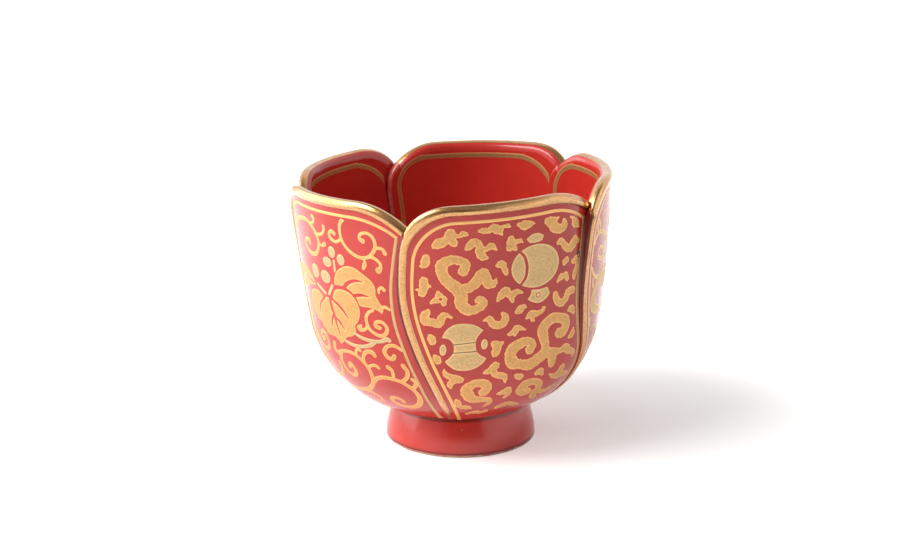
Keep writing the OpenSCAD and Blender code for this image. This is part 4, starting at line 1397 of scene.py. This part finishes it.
# Dark line beside a roll, pooled glaze with painted shade: its width, the heights over which it widens,
# its end, how far it goes under
LAP_LINE_W = 0.62
LAP_LINE_Z = (12.0, 26.0)
LAP_LINE_TOP = 46.6
LAP_LINE_UNDER = 0.1


def lap_line(k):
    """Depth inside the dark line where the next petal's roll meets this one: pooled enamel with painted
    shade.
    """
    corner = np.clip(grid_z - CUP_H + LEAD_CORNER_R, 0, LEAD_CORNER_R)
    edge = pitch(k, grid_z) + LEAD_CORNER_R - np.sqrt(LEAD_CORNER_R**2 - corner**2)
    wide = LAP_LINE_W * part_of(grid_z, *LAP_LINE_Z)
    depth = wide / 2 - abs(arc_of(k, grid_u, grid_z) - edge + LAP_LINE_W / 2 - LAP_LINE_UNDER)
    return np.minimum(depth, LAP_LINE_TOP - grid_z)


# A brush's unsteady edge
EDGE_WOBBLE = 0.07
wobble = np.sin(4.3 * grid_u + 1.7 * grid_z + 1) * np.sin(4.9 * grid_z - 2.1 * grid_u)
wobble += 0.6 * np.sin(7.9 * grid_u - 3.1 * grid_z + 2) * np.sin(2.7 * grid_u + 8.3 * grid_z)
# The paler gold keeps clear of the frame, and the main painting comes nearer to it
PALE_MARGIN = 0.75
MAIN_NEARER = 0.5

for k, name in enumerate(PETALS):
    margin = panel(k) - PALE_MARGIN
    phase = 0 if name in ("front", "left", "right") else SWAY_STEP * k
    if name in ("front", "back"):
        clouds, holes, treasures, cuts, bands = (
            swayed(lines, phase)
            for lines in (CLOUDS + WISPS, WISP_HOLES, TREASURES, TREASURE_CUTS, TREASURE_BANDS)
        )
        main = drawing(clouds, cuts=holes) + EDGE_WOBBLE * wobble
        pale = drawing(blobs=treasures, cuts=cuts + bands)
        film(name + "_treasure_bands", k, drawing(bands), band_ink)
    else:
        berries = [oval(*berry) for berry in BERRIES]
        vines, leaves, veins, twigs, berries = (
            swayed(moved_clear(lines, VINE_SHIFT[name]), phase)
            for lines in (VINES, LEAVES, VEINS, TWIGS, berries)
        )
        if name == "right":
            vines += RIGHT_VINES
            twigs += RIGHT_TWIGS
        main = drawing(vines, leaves, veins)
        pale = drawing(twigs, berries)
    over, beside = frame_strokes(k)
    main = np.maximum(np.minimum(main, margin + MAIN_NEARER), drawing(over))
    # On the right petal, seen aslant, the gold is the paler one: a painted sheen
    film(name + "_gold_painting", k, main, pale_gold if name == "right" else gold)
    # The line beside the tongue is drawn in the darker gold: painted shade
    film(name + "_tongue_gold_line", k, drawing(beside), shaded_gold)
    if name == "front":
        film("front_kiln_speck", k, drawing(blobs=[oval(*KILN_SPECK)]), lap_dark)
    else:
        film(name + "_lap_line", k, lap_line(k), lap_dark)
    paler = berry_gold if name in VINE_SHIFT else pale_gold
    film(name + "_pale_gold_painting", k, np.minimum(pale, margin), paler)
    line = np.minimum(drawing(inner_strokes(k)), arc_of(k, grid_u, grid_z) - reach(grid_z) - INNER_CLEAR)
    # The inner line is drawn in the darker gold: painted shade
    film(name + "_inner_gold_line", k, line, inner_shaded_gold, inside_face=True)


# Stage: a plain white floor
FLOOR_SIZE = 4.0
FLOOR_GLOW = 0.34
FLOOR_FAR = (0.034, 0.19)
FLOOR_MIDDLE = (0, 0.015, 0)
FLOOR_OVAL = (1, 2, 1)
FLOOR_BACK = (0.01, 0.08)

floor_corners = [(x * FLOOR_SIZE, y * FLOOR_SIZE, 0) for x, y in ((-1, -1), (1, -1), (1, 1), (-1, 1))]
floor = added("floor", bpy.data.meshes.new("floor"))
floor.data.from_pydata(floor_corners, [], [(0, 1, 2, 3)])
floor_mat, tree, bsdf = material("floor_white")
coords = object_coords(tree)
path = node(tree, "ShaderNodeLightPath")
# Seen from above, the sweep brightens to white round the shadow, twice as fast in depth as across
about = vector_maths(tree, "SUBTRACT", coords, FLOOR_MIDDLE)
about = vector_maths(tree, "MULTIPLY", about, FLOOR_OVAL)
away = vector_maths(tree, "LENGTH", about, output="Value")
sweep = span(tree, away, *FLOOR_FAR, FLOOR_GLOW, 1.0)
seen = maths(tree, "MULTIPLY", path.outputs["Is Camera Ray"], sweep)
# Mirrored in the glaze, it brightens towards the back
depth = node(tree, "ShaderNodeSeparateXYZ", coords).outputs["Y"]
behind = span(tree, depth, *FLOOR_BACK, FLOOR_GLOW, 1.0)
dress(tree, bsdf, {
    "Base Color": (0.9, 0.9, 0.9, 1),
    "Roughness": 0.9,
    "Specular IOR Level": 0.0,
    "Emission Color": (1, 1, 1, 1),
    "Emission Strength": maths(tree, "MULTIPLY_ADD", path.outputs["Is Glossy Ray"], behind, seen),
})
floor.data.materials.append(floor_mat)

# Light: a white studio with a dark ceiling, a soft key lamp at the upper left and panels at both sides
WORLD_LIGHT = 0.48
CEILING_WAY = (0, -0.6, 1)
CEILING_FROM = (0.4, 0.8)
CEILING_LIGHT = 0.3
FRONT_WAY = (0.11, -0.99, 0)
FRONT_FROM = (0.76, 0.92)
FRONT_LOW = (0.02, 0.07)
FRONT_HIGH = (0.55, 0.75)
FRONT_LIGHT = 0.3
KEY_WATTS = 5.25
LEFT_WATTS = 3.3
RIGHT_WATTS = 0.8

world = bpy.data.worlds.new("studio")
world.use_nodes = True
bpy.context.scene.world = world
tree = world.node_tree
path = node(tree, "ShaderNodeLightPath")
way = node(tree, "ShaderNodeTexCoord").outputs["Generated"]
up = node(tree, "ShaderNodeSeparateXYZ", way).outputs["Z"]
mirrored = maths(tree, "MAXIMUM", path.outputs["Is Glossy Ray"], path.outputs["Is Transmission Ray"])
level = span(tree, mirrored, 0, 1, WORLD_LIGHT, 1.0)
overhead = vector_maths(tree, "DOT_PRODUCT", way, CEILING_WAY, output="Value")
ceiling = span(tree, overhead, *CEILING_FROM, 1.0, CEILING_LIGHT)
# The studio's open front, behind the camera, is dark above the table
facing = vector_maths(tree, "DOT_PRODUCT", way, FRONT_WAY, output="Value")
ahead = span(tree, facing, *FRONT_FROM, 0, 1)
band = maths(tree, "MULTIPLY", span(tree, up, *FRONT_LOW, 0, 1), span(tree, up, *FRONT_HIGH, 1, 0))
front = span(tree, maths(tree, "MULTIPLY", ahead, band), 0, 1, 1.0, FRONT_LIGHT)
shade = maths(tree, "MULTIPLY", maths(tree, "MULTIPLY", level, ceiling), front)
shown = maths(tree, "MAXIMUM", shade, path.outputs["Is Camera Ray"])
dress(tree, tree.nodes["Background"], {"Color": (1, 1, 1, 1), "Strength": shown})

CUP_MIDDLE = Vector((0, 0, 0.03))


def aimed(made, location, target):
    made.location = location
    made.rotation_euler = (target - location).to_track_quat("-Z", "Y").to_euler()


def lamp(name, location, size, watts):
    data = bpy.data.lights.new(name, "AREA")
    data.shape = "DISK"
    data.size = size
    data.energy = watts
    aimed(added(name, data), Vector(location), CUP_MIDDLE)


lamp("key", (-0.49, -0.215, 0.55), 0.5, KEY_WATTS)
lamp("left_panel", (-0.6, 0.12, 0.22), 0.8, LEFT_WATTS)
lamp("right_panel", (0.6, -0.25, 0.22), 0.9, RIGHT_WATTS)

# Camera at the photograph's viewing angle
AIM = Vector((-2.09, 0, 31.39)) * MM
DISTANCE = 340 * MM
ELEVATION = math.radians(15.54)
FOCAL_PX = 1767.08
IMAGE_W = 900
SENSOR_W = 36.0
camera_data = bpy.data.cameras.new("camera")
camera_data.sensor_fit = "HORIZONTAL"
camera_data.sensor_width = SENSOR_W
camera_data.lens = FOCAL_PX / IMAGE_W * SENSOR_W
camera_data.clip_start = 0.01
camera = added("camera", camera_data)
aimed(camera, AIM + DISTANCE * Vector((0, -math.cos(ELEVATION), math.sin(ELEVATION))), AIM)
bpy.context.scene.camera = camera
bpy.context.scene.view_settings.view_transform = "Standard"
